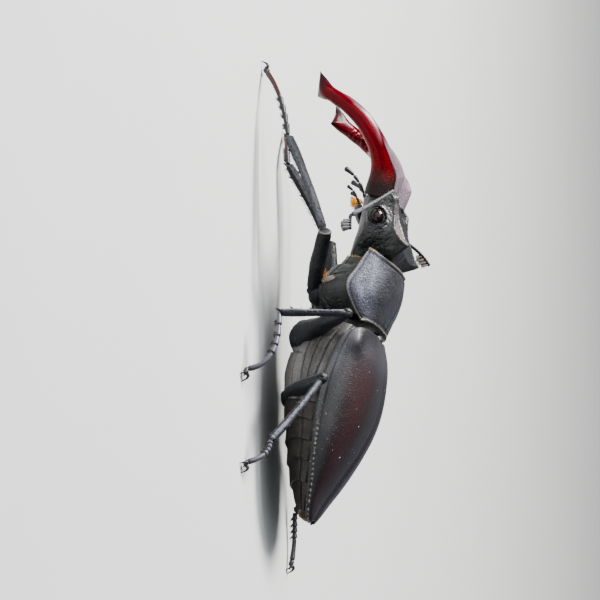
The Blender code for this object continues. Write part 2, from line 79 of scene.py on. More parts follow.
# Profiles along the trunk. y runs backwards from the front edge of the wing cases.
#              y      top   margin  bottom
HIND_BODY = [(0.0,   4.5,   1.8,   -4.6),
             (3.0,   5.8,   0.8,   -6.2),
             (6.0,   6.4,   0.3,   -6.8),
             (11.0,  6.6,   0.2,   -6.0),
             (15.5,  5.65,  0.7,   -4.4),
             (20.0,  4.0,   1.2,   -2.9),
             (23.8,  2.5,   1.3,   -1.2),
             (26.3,  1.75,  1.25,   0.4)]
#              y      half width of the wing cases
CASE_PLAN = [(0.0,   8.5),
             (1.2,   9.3),
             (5.0,   9.9),
             (10.8, 10.4),
             (15.7,  9.9),
             (19.8,  8.4),
             (23.2,  6.1),
             (25.2,  3.8),
             (26.3,  1.7)]
# Neck shield. v runs from its front edge to its back edge.
#               v      y mid  z mid   x side  y side  z side   z belly
SHIELD = [(0.0,  -9.3,   5.1,   7.4,  -10.7,   1.0,   -2.2),
          (0.3,  -6.8,   5.5,   8.5,   -7.6,   0.2,   -4.6),
          (0.55, -4.7,   5.4,   9.35,  -5.0,  -0.45,  -5.7),
          (0.8,  -2.6,   4.95,  8.5,   -2.6,   0.9,   -5.7),
          (1.0,  -1.0,   4.45,  7.5,   -0.9,   2.5,   -4.8)]
# Head. y runs backwards, so the face is at negative y. Half outlines of its cross-sections:
#          y     crown z   crest x, z   keel x, z    cheek x, z   jowl x, z    throat z
HEAD = [(2.4,  -0.2,      3.2, -0.4,   4.0, -0.9,  4.6, -2.0,   3.6, -3.5,   -4.1),
        (1.2,   0.3,      3.7, 0.1,    4.4, -0.5,  4.9, -1.6,   4.4, -3.8,   -4.6),
        (0.35,  1.4,      4.6, 1.1,    5.0, 0.2,   5.2, -1.4,   4.7, -4.0,   -4.9),
        (-0.5,  3.0,      6.7, 3.95,   7.0, 3.7,   5.6, -0.9,   5.0, -4.0,   -4.9),
        (-1.6,  3.2,      6.4, 3.7,    7.5, 3.1,   6.2, -0.8,   5.3, -3.8,   -4.8),
        (-2.8,  3.3,      6.2, 3.6,    7.7, 2.75,  7.4, -0.5,   5.6, -3.1,   -4.0),
        (-4.8,  3.4,      6.1, 3.5,    7.0, 3.1,   8.1, 0.2,    5.9, -1.8,   -2.9),
        (-6.2,  3.5,      6.1, 3.8,    6.9, 3.4,   7.7, 0.8,    5.8, -1.2,   -2.3),
        (-7.6,  3.5,      6.2, 4.1,    7.1, 3.5,   7.3, 1.3,    5.5, -0.7,   -1.7),
        (-8.8,  3.2,      5.6, 3.5,    6.6, 2.8,   6.6, 1.3,    5.0, -0.4,   -1.1)]
# Jaw, in the head's own axes. t runs from root to tip.
#           t      x     y      z     half height  half width
JAW = [(0.0,   5.2,   -8.6,  1.5,   1.95,  2.20),
       (0.14,  6.2,  -11.6,  2.85,  1.62,  1.75),
       (0.27,  7.8,  -13.8,  3.1,   1.40,  1.40),
       (0.42,  9.3,  -16.1,  2.65,  1.25,  1.25),
       (0.56, 10.1,  -18.3,  1.75,  1.15,  1.15),
       (0.7,  10.3,  -20.4,  0.35,  1.02,  1.05),
       (0.82,  9.9,  -22.0, -1.05,  0.92,  0.95),
       (0.91,  9.4,  -23.4, -1.95,  0.88,  0.80),
       (1.0,   8.9,  -26.2, -2.30,  0.30,  0.30)]
# Humps raised from the jaw: at is the angle round it, from the outer side over the top.
#               t     width  at     spread  shift x, y, z
JAW_TEETH = [(0.10, 0.20,  118.0, 45.0,  (-0.6, 0.0, 1.5)),
             (0.56, 0.060, 185.0, 50.0,  (-2.6, -0.6, -0.4)),
             (0.70, 0.040, 190.0, 40.0,  (-0.5, -0.2, 0.0)),
             (0.91, 0.055, 215.0, 50.0,  (-1.5, -0.2, -1.0))]
SMALL_TEETH = (0.40, 0.46, 0.645, 0.69, 0.735, 0.78, 0.82)   # t of the low teeth on the jaw's inner edge
SMALL_TOOTH = (0.019, 185.0, 36.0, (-0.22, -0.04, -0.04))    # width, at, spread, shift
JAW_ROOT = 0.2                                               # the humps before this t are no teeth
# Angle round the jaw, at each share of its length, of the painted dark line between the red flank and the
# painted pale sheen on the upper side.
JAW_LINE = ((0.0, 0.12, 0.22, 0.32, 0.44, 1.0), (60.0, 60.0, 45.0, 42.0, 74.0, 74.0))

# Legs. The foot leaves the ankle towards its bend.
#                    hip                knee               ankle              bend               toe
LEGS = {
    "front_left":   ((5.3, -0.2, 6.95),  (12.2, -6.3, 9.6),  (11.2, -19.9, 4.6),
                     (10.2, -26.1, 3.75), (6.2, -30.2, 0.80)),
    "front_right":  ((-5.3, -0.2, 7.6),  (-9.5, -9.4, 6.9),  (-6.6, -20.3, 1.7),
                     (-7.5, -22.9, 1.3), (-10.5, -25.2, 0.75)),
    "middle_left":  ((6.0, 6.2, 5.3),    (14.2, 5.1, 13.0),  (17.6, 5.4, 4.6),
                     (20.0, 12.9, 5.1),  (20.6, 13.4, 0.75)),
    "middle_right": ((-6.0, 6.2, 5.3),   (-14.6, 4.4, 12.0), (-18.6, 3.6, 3.8),
                     (-20.4, 8.4, 2.6),  (-24.0, 11.0, 0.75)),
    "hind_left":    ((6.2, 14.3, 3.7),   (15.0, 13.8, 9.8),  (17.2, 22.2, 3.4),
                     (19.3, 24.8, 3.6),  (20.4, 25.6, 0.75)),
    "hind_right":   ((-6.2, 14.3, 3.7),  (-14.6, 16.6, 9.2), (-15.0, 26.7, 1.3),
                     (-16.4, 30.2, 1.1), (-15.5, 33.4, 0.75)),
}
HIP_CENTRES = {"front": (3.6, 0.3, 7.7), "middle": (3.9, 6.3, 5.0), "hind": (3.9, 14.4, 3.6)}
HIP_RADII = {"front": (2.5, 1.9, 1.6), "middle": (2.2, 1.9, 1.4), "hind": (2.6, 1.3, 1.1)}
#                t     half height  half width
FEMUR = [(0.0,  0.62,  0.55),
         (0.15, 1.05,  0.75),
         (0.45, 1.50,  0.95),
         (0.8,  1.00,  0.80),
         (1.0,  0.68,  0.62)]
MIDDLE_FEMUR = [(0.0,  0.90,  1.30),
                (0.1,  1.25,  1.85),
                (0.25, 1.35,  1.60),
                (0.45, 1.45,  1.10),
                (0.8,  1.00,  0.80),
                (1.0,  0.68,  0.62)]
FORE_FEMUR = [(0.0,  0.62,  0.55),
              (0.15, 0.88,  0.70),
              (0.45, 1.10,  0.95),
              (0.8,  1.08,  0.86),
              (1.0,  1.00,  0.80)]
FEMURS = {"front": FORE_FEMUR, "middle": MIDDLE_FEMUR, "hind": FEMUR}
TIBIA = [(0.0,  0.48,  0.46),
         (0.12, 0.48,  0.46),
         (0.6,  0.47,  0.46),
         (0.9,  0.54,  0.52),
         (1.0,  0.46,  0.44)]
STOUT = {"front": 1.12, "middle": 1.0, "hind": 1.0}          # how stout each pair's shanks are
SHANK_SPINES = {"front": (0.62, 0.85), "middle": (0.55, 0.82), "hind": (0.5, 0.72)}
SPINE_SIDES = {"front": (0.0, 0.0, -1.0), "middle": (0.0, -1.0, 0.2), "hind": (0.0, -0.3, 1.0)}
# Face of each pair's shanks on which a blue-grey painted sheen lies, and how strong it is there.
SHANK_SHEEN = {"front": ((1.0, 0.0, -0.4), 0.45), "middle": ((0.6, -0.8, 0.0), 0.75),
              "hind": ((1.0, 0.0, 0.0), 1.2)}
FOOT_CUTS = (0.0, 0.13, 0.26, 0.38, 0.50, 1.0)               # shares of a foot at which its five joints meet
CLAW_REACH = 0.8
CLAW_SPREAD = 0.75

FEELERS = {
    "left":  ((7.7, -12.7, 18.2), (11.1, -8.8, 13.1), (12.1, -8.4, 12.95), (13.2, -6.4, 13.2)),
    "right": ((-7.7, -12.3, 16.5), (-12.5, -10.0, 17.3), (-14.6, -9.0, 19.1), (-16.0, -7.5, 19.9)),
}
COMB_REACH = (0.0, 0.0, -1.2)  # how far the feeler comb's longest leaf hangs

# Points across the hidden roof inside a ring, rings across the face, and points round a ring.
BELLY_ROOF = 14
FLANK_ROOF = 25
FACE_RINGS = 22
JAW_SIDES = 64
LIMB_SIDES = 56
HAIR_SIDES = 3
EDGE_STEPS = 3                 # rows of points on a quarter of a plate's half-round edge

# Camera: how it looks at the beetle's left side, with the head towards the top of the frame.
CAMERA_RISE = 9.0              # degrees above the floor
CAMERA_AHEAD = 12.0            # degrees behind the beetle's true side
CAMERA_DISTANCE = 550.0
CAMERA_AIM = 4.32              # how far right of the beetle's middle the frame's middle lies
CAMERA_LENS = 244.2
CAMERA_FILM = 36.0


# ---------------------------------------------------------------- arithmetic of curves and grids

def unit(v):
    """Vectors of the same directions, each of length 1."""
    return v / np.maximum(np.linalg.norm(v, axis=-1, keepdims=True), 1e-9)


def curve(keys, t, corner=0.0):
    """Smooth curve through keys of (knot, value, value, ...), read at t of any shape.

    Between two knots it is the cubic with their values and slopes. A knot's slope is the mean of those on its
    two sides. Where corner is 1, each side keeps its own straight slope, which leaves an edge at that knot.
    """
    if isinstance(keys, tuple):
        knots, values = keys
    else:
        table = np.array(keys, float)
        knots, values = table[:, 0], table[:, 1:]
    order = np.argsort(knots)
    knots, values = knots[order], values[order]
    corner = np.broadcast_to(corner, len(knots))[order].reshape((-1,) + (1,) * (values.ndim - 1))
    chord = np.diff(values, axis=0) / np.diff(knots).reshape((-1,) + (1,) * (values.ndim - 1))
    even = np.gradient(values, knots, axis=0)
    leave = even[:-1] * (1 - corner[:-1]) + chord * corner[:-1]
    arrive = even[1:] * (1 - corner[1:]) + chord * corner[1:]
    t = np.asarray(t, float)
    i = np.clip(np.searchsorted(knots, t) - 1, 0, len(knots) - 2)
    wide = t.shape + (1,) * (values.ndim - 1)
    step = (knots[i + 1] - knots[i]).reshape(wide)
    s = np.clip((t - knots[i]).reshape(wide) / step, 0, 1)
    return (values[i] * (1 + 2 * s) * (1 - s) ** 2 + leave[i] * step * s * (1 - s) ** 2
            + values[i + 1] * s * s * (3 - 2 * s) + arrive[i] * step * s * s * (s - 1))


def bump(x, centre, width):
    """Bell of height 1 at the centre, which falls to 1/e at one width from it."""
    return np.exp(-((x - centre) / width) ** 2)


def ease(x, start, end):
    """0 up to start, 1 from end, and an S-shaped rise between them."""
    s = np.clip((x - start) / (end - start), 0, 1)
    return s * s * (3 - 2 * s)


def rounded(s, power, least):
    """Share of its radius that a piece has at s: full along most of it, less by a high power of the distance
    from its middle, which rounds off both ends."""
    return np.sqrt(np.clip(1 - (2 * s - 1) ** power, least, 1))


def tapered(s, start, end, least):
    """Share of its radius that a piece has at s: full up to start, then a quarter round down to end."""
    return np.sqrt(np.clip(1 - ease(s, start, end) ** 2, least, 1))


def xyz(x, y, z):
    """Points from three coordinates, which are spread over one another's shapes."""
    return np.stack(np.broadcast_arrays(x, y, z), axis=-1)


def bent_path(start, control, end, count):
    """Parabola that leaves start towards control and arrives at end from control."""
    t = np.linspace(0, 1, count)[:, None]
    start, control, end = (np.array(p, float) for p in (start, control, end))
    return (1 - t) ** 2 * start + 2 * t * (1 - t) * control + t ** 2 * end


def on_path(path, s):
    """Points at shares s of a path, even between its own points."""
    span = np.linspace(0, 1, len(path))
    return np.stack([np.interp(s, span, path[:, axis]) for axis in range(3)], axis=-1)


def tube(path, high, wide, sides, up=(0, 0, 1)):
    """Rings round a path: ellipses of half height high and half width wide, with their tall axis near up."""
    path = np.array(path, float)
    ahead = unit(np.gradient(path, axis=0))
    aside = unit(np.cross(np.broadcast_to(np.array(up, float), path.shape), ahead))
    above = np.cross(ahead, aside)
    turn = np.arange(sides) * 2 * pi / sides
    high, wide = (np.broadcast_to(v, len(path)).reshape(-1, 1, 1) for v in (high, wide))
    return (path[:, None] + aside[:, None] * np.cos(turn)[None, :, None] * wide
            + above[:, None] * np.sin(turn)[None, :, None] * high)


def ellipsoid(centre, radii, rows=24, columns=36):
    """Rings of a ball stretched to three radii: the ring at angle a from the pole has radius sin a."""
    a = np.linspace(0, pi, rows + 2)[1:-1, None]
    b = np.arange(columns)[None] * 2 * pi / columns
    return np.array(centre) + xyz(np.sin(a) * np.cos(b), np.sin(a) * np.sin(b), np.cos(a)) * radii


def scatter(cells, seed):
    """Three repeatable random numbers from 0 to 1 for each whole-numbered cell: the tail of a large sine."""
    mix = np.array([[127.1, 269.5, 113.5], [311.7, 183.3, 271.9], [74.7, 246.1, 124.6]])
    return np.modf(np.abs(np.sin(cells @ mix + seed) * 43758.5453))[0]


def pits(points, cell, seed=1.0):
    """Distance, in cells, from each point to the nearest of a swarm of spots, one to each cubic cell."""
    scaled = points / cell
    home = np.floor(scaled)
    nearest = np.full(points.shape[:-1], 9.0)
    for step in product((-1, 0, 1), repeat=3):
        spot = home + step + scatter(home + step, seed)
        nearest = np.minimum(nearest, np.linalg.norm(scaled - spot, axis=-1))
    return nearest


def dimples(points, cell, width):
    """1 at each spot of a swarm, which falls to 1/e at width, in cells, from it."""
    return bump(pits(points, cell), 0.0, width)


def ripple(points, size, seed=5.0):
    """Swelling noise from -1 to 1: random heights at the corners of cubic cells, eased between them."""
    scaled = points / size
    home = np.floor(scaled)
    s = scaled - home
    s = s * s * (3 - 2 * s)
    total = 0
    for step in product((0, 1), repeat=3):
        weight = np.prod(np.where(np.array(step), s, 1 - s), axis=-1)
        total = total + weight * scatter(home + step, seed)[..., 0]
    return 2 * total - 1


def mirrored(half):
    """Whole rings from half rings: the other half is their mirror image, less the two shared ends."""
    return np.concatenate([half, half[:, -2:0:-1] * (-1, 1, 1)], axis=1)


def grid_normals(grid, inside, wrap):
    """Unit normals of a grid: the cross product of its slopes, turned away from the points called inside."""
    across = np.roll(grid, -1, 1) - np.roll(grid, 1, 1) if wrap else np.gradient(grid, axis=1)
    normal = unit(np.cross(across, np.gradient(grid, axis=0)))
    return normal * np.sign(np.sum(normal * (grid - inside)))


def raised(grid, height, inside=None, wrap=True):
    """Moves each point of a grid along its normal by its height."""
    inside = grid.mean(axis=1, keepdims=True) if inside is None else inside
    return grid + grid_normals(grid, inside, wrap) * height[..., None]


def on_grid(grid, u, v):
    """Points of a grid at shares u of its rows and v of its columns, even between the four nearest points."""
    r, c = u * (grid.shape[0] - 1.001), v * (grid.shape[1] - 1.001)
    i, j = r.astype(int), c.astype(int)
    a, b = (r - i)[:, None], (c - j)[:, None]
    return ((grid[i, j] * (1 - b) + grid[i, j + 1] * b) * (1 - a)
            + (grid[i + 1, j] * (1 - b) + grid[i + 1, j + 1] * b) * a)


# ---------------------------------------------------------------- frames of reference

def turned(pitch, roll=0.0):
    """Rotation that raises the front by pitch degrees and then the left side by roll degrees."""
    a, b = np.radians(-pitch), np.radians(-roll)
    tip = np.array([[1, 0, 0], [0, np.cos(a), -np.sin(a)], [0, np.sin(a), np.cos(a)]])
    lean = np.array([[np.cos(b), 0, np.sin(b)], [0, 1, 0], [-np.sin(b), 0, np.cos(b)]])
    return lean @ tip


HEAD_TURN, TRUNK_TURN = turned(HEAD_PITCH, HEAD_ROLL), turned(TRUNK_PITCH)
EYE_PLACE = np.mean(np.array(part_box("eye_left")), axis=0) / MM
# What takes these sizes to the frame.
CENTRING = EYE_PLACE - HEAD_TURN @ np.array(EYE_CENTRE) - np.array(HEAD_BASE)


def in_head(points):
    """Points given in the head's own axes, in the frame."""
    return points @ HEAD_TURN.T + HEAD_BASE + CENTRING


def in_trunk(points):
    """Points given in the trunk's own axes, in the frame."""
    return points @ TRUNK_TURN.T + TRUNK_BASE + CENTRING


def in_world(points):
    """Points given in the beetle's level axes, in the frame."""
    return points + CENTRING


# ---------------------------------------------------------------- skins and pieces

class Skin:
    """Closed surface: points in millimetres, faces, and the values and bake places kept on the points."""

    def __init__(self, points, quads, triangles, marks=None, place=None):
        self.points = points
        self.quads = quads
        self.triangles = triangles
        self.marks = marks or {}
        self.place = place


def rings_skin(rings, **marks):
    """Skin over a stack of rings: quads between neighbours, and a fan to the middle point at each end."""
    rows, columns = rings.shape[:2]
    index = np.arange(rows * columns).reshape(rows, columns)
    beside = np.roll(index, -1, axis=1)
    quads = np.stack([index[:-1], beside[:-1], beside[1:], index[1:]], axis=-1).reshape(-1, 4)
    first, last = rows * columns, rows * columns + 1
    fans = [np.stack([beside[0], index[0], np.full(columns, first)], axis=-1),
            np.stack([index[-1], beside[-1], np.full(columns, last)], axis=-1)]
    triangles = np.concatenate(fans)
    points = np.concatenate([rings.reshape(-1, 3), [rings[0].mean(axis=0), rings[-1].mean(axis=0)]])
    kept = {}
    for name, value in marks.items():
        value = np.broadcast_to(value, rings.shape[:2])
        kept[name] = np.concatenate([value.ravel(), [value[0].mean(), value[-1].mean()]])
    corners = points[quads] - points[first]
    volume = np.sum(np.cross(corners[:, 0], corners[:, 1]) * corners[:, 2])
    if volume < 0:
        quads, triangles = quads[:, ::-1], triangles[:, ::-1]
    return Skin(points, quads, triangles, kept)


def half_round_edges(outer, inner):
    """Carries two sheets on round a half circle at all four sides, up to where they meet."""
    turn = np.linspace(0, pi / 2, EDGE_STEPS + 1)[1:, None, None]
    for axis in (0, 1):
        outer, inner = np.moveaxis(outer, axis, 0), np.moveaxis(inner, axis, 0)
        middle, half = (outer + inner) / 2, (outer - inner) / 2
        sheets = []
        for sign, sheet in ((1, outer), (-1, inner)):
            ends = []
            for end, beside in ((0, 1), (-1, -2)):
                out = unit(middle[end] - middle[beside]) * np.linalg.norm(half[end], axis=-1, keepdims=True)
                ends.append(middle[end] + sign * half[end] * np.cos(turn) + out * np.sin(turn))
            sheets.append(np.moveaxis(np.concatenate([ends[0][::-1], sheet, ends[1]]), 0, axis))
        outer, inner = sheets
    return outer, inner


def plate_skin(outer, inner, **marks):
    """Skin of a plate between two sheets, with half-round edges. Doubled border points are merged later."""
    grids = half_round_edges(outer, inner)
    rows, columns = grids[0].shape[:2]
    index = np.arange(rows * columns).reshape(rows, columns)
    quads = np.stack([index[:-1, :-1], index[:-1, 1:], index[1:, 1:], index[1:, :-1]], axis=-1).reshape(-1, 4)
    points = np.concatenate([grid.reshape(-1, 3) for grid in grids])
    quads = np.concatenate([quads, quads[:, ::-1] + rows * columns])
    kept = {}
    for name, value in marks.items():
        value = np.pad(np.broadcast_to(value, outer.shape[:2]), EDGE_STEPS, mode="edge").ravel()
        kept[name] = np.concatenate([value, value])
    return Skin(points, quads, np.zeros((0, 3), int), kept)


def hair_skin(roots, lean, length, thickness, sag, place, joints=3):
    """Tapering three-sided hairs. Each leaves its root along lean, bent by sag times its height squared.

    A hair's bake place is a small round patch at its root's own place on the unwrapped skin. Its points lie
    round that patch a golden angle apart.
    """
    count = len(roots)
    t = np.linspace(0, 1, joints + 1)[:-1]
    ahead = unit(lean)
    aside = unit(np.cross(ahead, (0.31, 0.22, 0.92)))
    above = np.cross(ahead, aside)
    length, thickness = np.broadcast_to(length, count), np.broadcast_to(thickness, count)
    sag = np.broadcast_to(sag, (count, 3))
    spine = (roots[:, None] + ahead[:, None] * (length[:, None] * t)[..., None]
             + sag[:, None] * (t ** 2)[None, :, None])
    radius = (thickness[:, None] * (1 - t) ** 0.7)[..., None, None]
    turn = np.arange(HAIR_SIDES) * 2 * pi / HAIR_SIDES
    around = aside[:, None, None] * np.cos(turn)[:, None] + above[:, None, None] * np.sin(turn)[:, None]
    rings = spine[:, :, None] + radius * around
    tips = roots + ahead * length[:, None] + sag
    points = np.concatenate([rings.reshape(count, -1, 3), tips[:, None]], axis=1)
    per_hair = HAIR_SIDES * joints + 1
    base = np.arange(HAIR_SIDES * joints).reshape(joints, HAIR_SIDES)
    beside = np.roll(base, -1, axis=1)
    quads = np.stack([base[:-1], beside[:-1], beside[1:], base[1:]], axis=-1).reshape(-1, 4)
    tip = np.stack([base[-1], beside[-1], np.full(HAIR_SIDES, HAIR_SIDES * joints)], axis=-1)
    triangles = np.concatenate([tip, base[0][None, ::-1]])
    start = np.arange(count)[:, None, None] * per_hair
    golden = np.arange(per_hair) * GOLDEN_ANGLE
    spots = np.stack([np.cos(golden), np.sin(golden)], axis=-1) * BAKE_PATCH / 2
    places = (place[:, None] + spots[None]).reshape(-1, 2)
    shade = np.repeat(rng.random(count), per_hair)
    return Skin(points.reshape(-1, 3), (quads + start).reshape(-1, 4), (triangles + start).reshape(-1, 3),
                {"shade": shade}, places)


def piece(name, skins, finish, nodes=(), merge=False):
    """Makes one object of some skins, which rides on the beetle and stands for the solids called nodes."""
    marks = sorted({mark for skin in skins for mark in skin.marks})
    starts = np.cumsum([0] + [len(skin.points) for skin in skins])
    points = np.concatenate([skin.points for skin in skins]) * MM
    quads = np.concatenate([skin.quads + start for skin, start in zip(skins, starts)])
    triangles = np.concatenate([skin.triangles + start for skin, start in zip(skins, starts)])
    mesh = bpy.data.meshes.new(name)
    mesh.from_pydata(points.tolist(), [], quads.tolist() + triangles.tolist())
    for mark in marks:
        values = [skin.marks.get(mark, np.zeros(len(skin.points))) for skin in skins]
        attribute = mesh.attributes.new(mark, "FLOAT", "POINT")
        attribute.data.foreach_set("value", np.concatenate(values).astype(np.float32))
    if skins[0].place is not None:
        corners = np.empty(len(mesh.loops), np.int32)
        mesh.loops.foreach_get("vertex_index", corners)
        bake = mesh.uv_layers.new(name="OFBake")
        places = np.concatenate([skin.place for skin in skins])
        bake.uv.foreach_set("vector", places[corners].astype(np.float32).ravel())
    if merge:
        work = bmesh.new()
        work.from_mesh(mesh)
        bmesh.ops.remove_doubles(work, verts=work.verts, dist=1e-3 * MM)
        bmesh.ops.dissolve_degenerate(work, edges=work.edges, dist=1e-4 * MM)
        bmesh.ops.recalc_face_normals(work, faces=work.faces)
        work.to_mesh(mesh)
        work.free()
    mesh.shade_smooth()
    mesh.materials.append(finish)
    obj = bpy.data.objects.new(name, mesh)
    bpy.context.scene.collection.objects.link(obj)
    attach(obj, "root")
    if nodes:
        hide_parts(*nodes)


# ---------------------------------------------------------------- finishes

class Value:
    """A number on its way through a finish's nodes. Arithmetic on it adds Math nodes."""

    def __init__(self, finish, socket):
        self.finish = finish
        self.socket = socket

    def math(self, operation, *terms):
        """Result of one operation on some terms."""
        return self.finish.node("Math", {"operation": operation}, dict(enumerate(terms)))

    def __add__(self, other):
        return self.math("ADD", self, other)

    def __radd__(self, other):
        return self.math("ADD", other, self)

    def __sub__(self, other):
        return self.math("SUBTRACT", self, other)

    def __rsub__(self, other):
        return self.math("SUBTRACT", other, self)

    def __mul__(self, other):
        return self.math("MULTIPLY", self, other)

    def __rmul__(self, other):
        return self.math("MULTIPLY", other, self)

    def between(self, low, high):
        """0 where this value is low and 1 where it is high, kept between the two."""
        ends = {"Value": self, "From Min": low, "From Max": high}
        return self.finish.node("MapRange", {"clamp": True}, ends)


class Finish:
    """Material of one surface, in the object's own coordinates."""

    def __init__(self, name, **sockets):
        self.material = bpy.data.materials.new(name)
        self.material.use_nodes = True
        self.tree = self.material.node_tree
        self.shader = self.tree.nodes["Principled BSDF"]
        self.place = self.node("TexCoord", {}, {}, "Object")
        self.set(**sockets)

    def set(self, **sockets):
        """Sets or links the shader's sockets. An underscore in a name stands for a space."""
        for name, value in sockets.items():
            self.feed(self.shader.inputs[name.replace("_", " ")], value)

    def feed(self, socket, value):
        """Links a value to a socket, or sets the socket to a number or colour."""
        if isinstance(value, Value):
            self.tree.links.new(value.socket, socket)
        elif socket.type == "RGBA" and len(value) == 3:
            socket.default_value = (*value, 1)
        else:
            socket.default_value = value

    def node(self, kind, settings, inputs, output=0):
        """Adds a node, first its settings, then its sockets' values or links, and gives one of its
        outputs."""
        made = self.tree.nodes.new("ShaderNode" + kind)
        for name, value in settings.items():
            setattr(made, name, value)
        for name, value in inputs.items():
            self.feed(made.inputs[name], value)
        return Value(self, made.outputs[output])

    def noise(self, size, detail, seed=0.0):
        """Cloudy pattern between 0 and 1 whose blots are about size millimetres across."""
        return self.node("TexNoise", {"noise_dimensions": "4D"},
                         {"Vector": self.place, "Scale": 1 / (size * MM), "Detail": detail, "W": seed})

    def spots(self, size):
        """Distance from scattered spots about size millimetres apart, as a share of that size."""
        sockets = {"Vector": self.place, "Scale": 1 / (size * MM)}
        return self.node("TexVoronoi", {"feature": "F1"}, sockets, "Distance")

    def mark(self, name):
        """Value that the piece keeps on its points under this name."""
        return self.node("Attribute", {"attribute_name": name}, {}, "Fac")

    def mix(self, share, first, second):
        """Colour that goes from first to second as share goes from 0 to 1."""
        return self.node("Mix", {"data_type": "RGBA"}, {0: share, 6: first, 7: second}, 2)

    def bumps(self, *layers):
        """Normal from layers of (height, depth in millimetres), each laid over the one before."""
        normal = None
        for height, depth in layers:
            sockets = {"Height": height, "Distance": depth * MM, "Strength": 1.0}
            if normal:
                sockets["Normal"] = normal
            normal = self.node("Bump", {}, sockets)
        self.set(Normal=normal)


def shell_finish(name, dark, light, rough, pit_size, pit_depth, grain, sheen):
    """Pitted horn: a dark ground clouded with a lighter one, punctures, fine leathery grain and dust. Marks
    lay painted sheen, painted highlights and painted glints over it.
    """
    f = Finish(name, Specular_IOR_Level=0.55, Coat_Roughness=0.22, Sheen_Weight=sheen, Sheen_Roughness=0.45,
               Sheen_Tint=(0.75, 0.80, 1.0))
    clouds = f.noise(2.4, 4.0)
    pit = f.spots(pit_size).between(0.10, 0.42)
    dust = f.noise(0.5, 5.0, 3.0).between(0.60, 0.80) * f.noise(4.0, 2.0, 7.0).between(0.45, 0.65)
    ground = f.mix(clouds.between(0.35, 0.7), dark, light)
    # Pinkish painted highlight on the head's bevels, standing in for a sun glint, with some wear.
    ground = f.mix(f.mark("worn") * clouds.between(0.25, 0.6) * 0.55, ground, (0.17, 0.12, 0.11))
    grains = f.spots(0.26).between(0.15, 0.50)
    # Lavender painted sheen, standing in for the sky's reflection on the shield's sides and the breast.
    ground = f.mix(f.mark("bloom") * (0.25 + 0.75 * grains) * (0.5 + clouds), ground, (0.108, 0.109, 0.148))
    # Pale ivory painted highlight along the shield's rims and on a band of the breast.
    ground = f.mix(f.mark("rim") * 0.6, ground, (0.42, 0.38, 0.30))
    ground = f.mix(f.mark("seam"), ground, (0.004, 0.004, 0.004))
    # Light specks of painted glint on the grains of the cheeks and the front.
    ground = f.mix(f.mark("grit") * (1 - grains) * clouds.between(0.4, 0.6), ground, (0.13, 0.13, 0.14))
    ground = f.mix((1 - pit) * 0.5, ground, (0.004, 0.004, 0.005))
    f.set(Base_Color=f.mix(dust * 0.22, ground, (0.30, 0.29, 0.28)),
          Roughness=rough + 0.10 * clouds + 0.14 * (1 - pit) + 0.25 * dust + 0.2 * f.mark("worn"),
          Coat_Weight=0.15 * clouds.between(0.3, 0.6))
    f.bumps((f.noise(0.16, 3.0), grain), (pit, pit_depth))
    return f.material


def wing_case_finish():
    """Smooth horn, nearly black at both edges and maroon along the middle, with punctures and white
    specks. Painted sheen lightens its lateral side, shoulder and front, and painted glints dot its rear
    margin."""
    f = Finish("wing_case_horn", Specular_IOR_Level=0.25, Coat_Roughness=0.2, Sheen_Weight=0.04,
               Sheen_Roughness=0.4, Sheen_Tint=(0.8, 0.8, 1.0))
    band = f.mark("band")
    clouds = f.noise(3.0, 5.0)
    pit = f.spots(0.30).between(0.08, 0.36)
    glow = (band * 0.9 + (clouds - 0.5) * 0.6).between(0.15, 0.85)
    # Painted sheen: lighter grey towards the lateral margin, in place of the sky's reflection there.
    ground = f.mix(f.mark("edge") * (0.5 + clouds), (0.013, 0.0125, 0.0135), (0.038, 0.037, 0.039))
    ground = f.mix(glow, ground, (0.029, 0.0135, 0.0155))
    # Painted sheen and highlights on the shoulder, the front of the margin, the front of the top and the
    # suture.
    ground = f.mix(f.mark("bloom") * (0.4 + 0.6 * clouds), ground, (0.125, 0.120, 0.145))
    fleck = f.noise(0.30, 2.0, 9.0).between(0.72, 0.76) * f.noise(2.0, 2.0, 4.0).between(0.50, 0.60)
    dust = f.noise(0.35, 6.0, 2.0).between(0.58, 0.75) * f.mark("dusty")
    crumb = f.noise(0.65, 1.0, 2.0).between(0.755, 0.785)
    # White from dust specks and crumbs, and from painted glints on the rear margin's granules.
    white = fleck * 0.75 + crumb * 0.8 + dust * 0.35 + f.mark("bead") * 0.8
    f.set(Base_Color=f.mix(white.between(0.0, 1.0), ground, (0.55, 0.53, 0.50)),
          Roughness=0.46 + 0.14 * clouds + 0.10 * (1 - pit) + 0.30 * white,
          Coat_Weight=0.10 - 0.1 * dust)
    f.bumps((f.noise(0.2, 3.0), 0.016), (pit, 0.030), (fleck, 0.05))
    return f.material


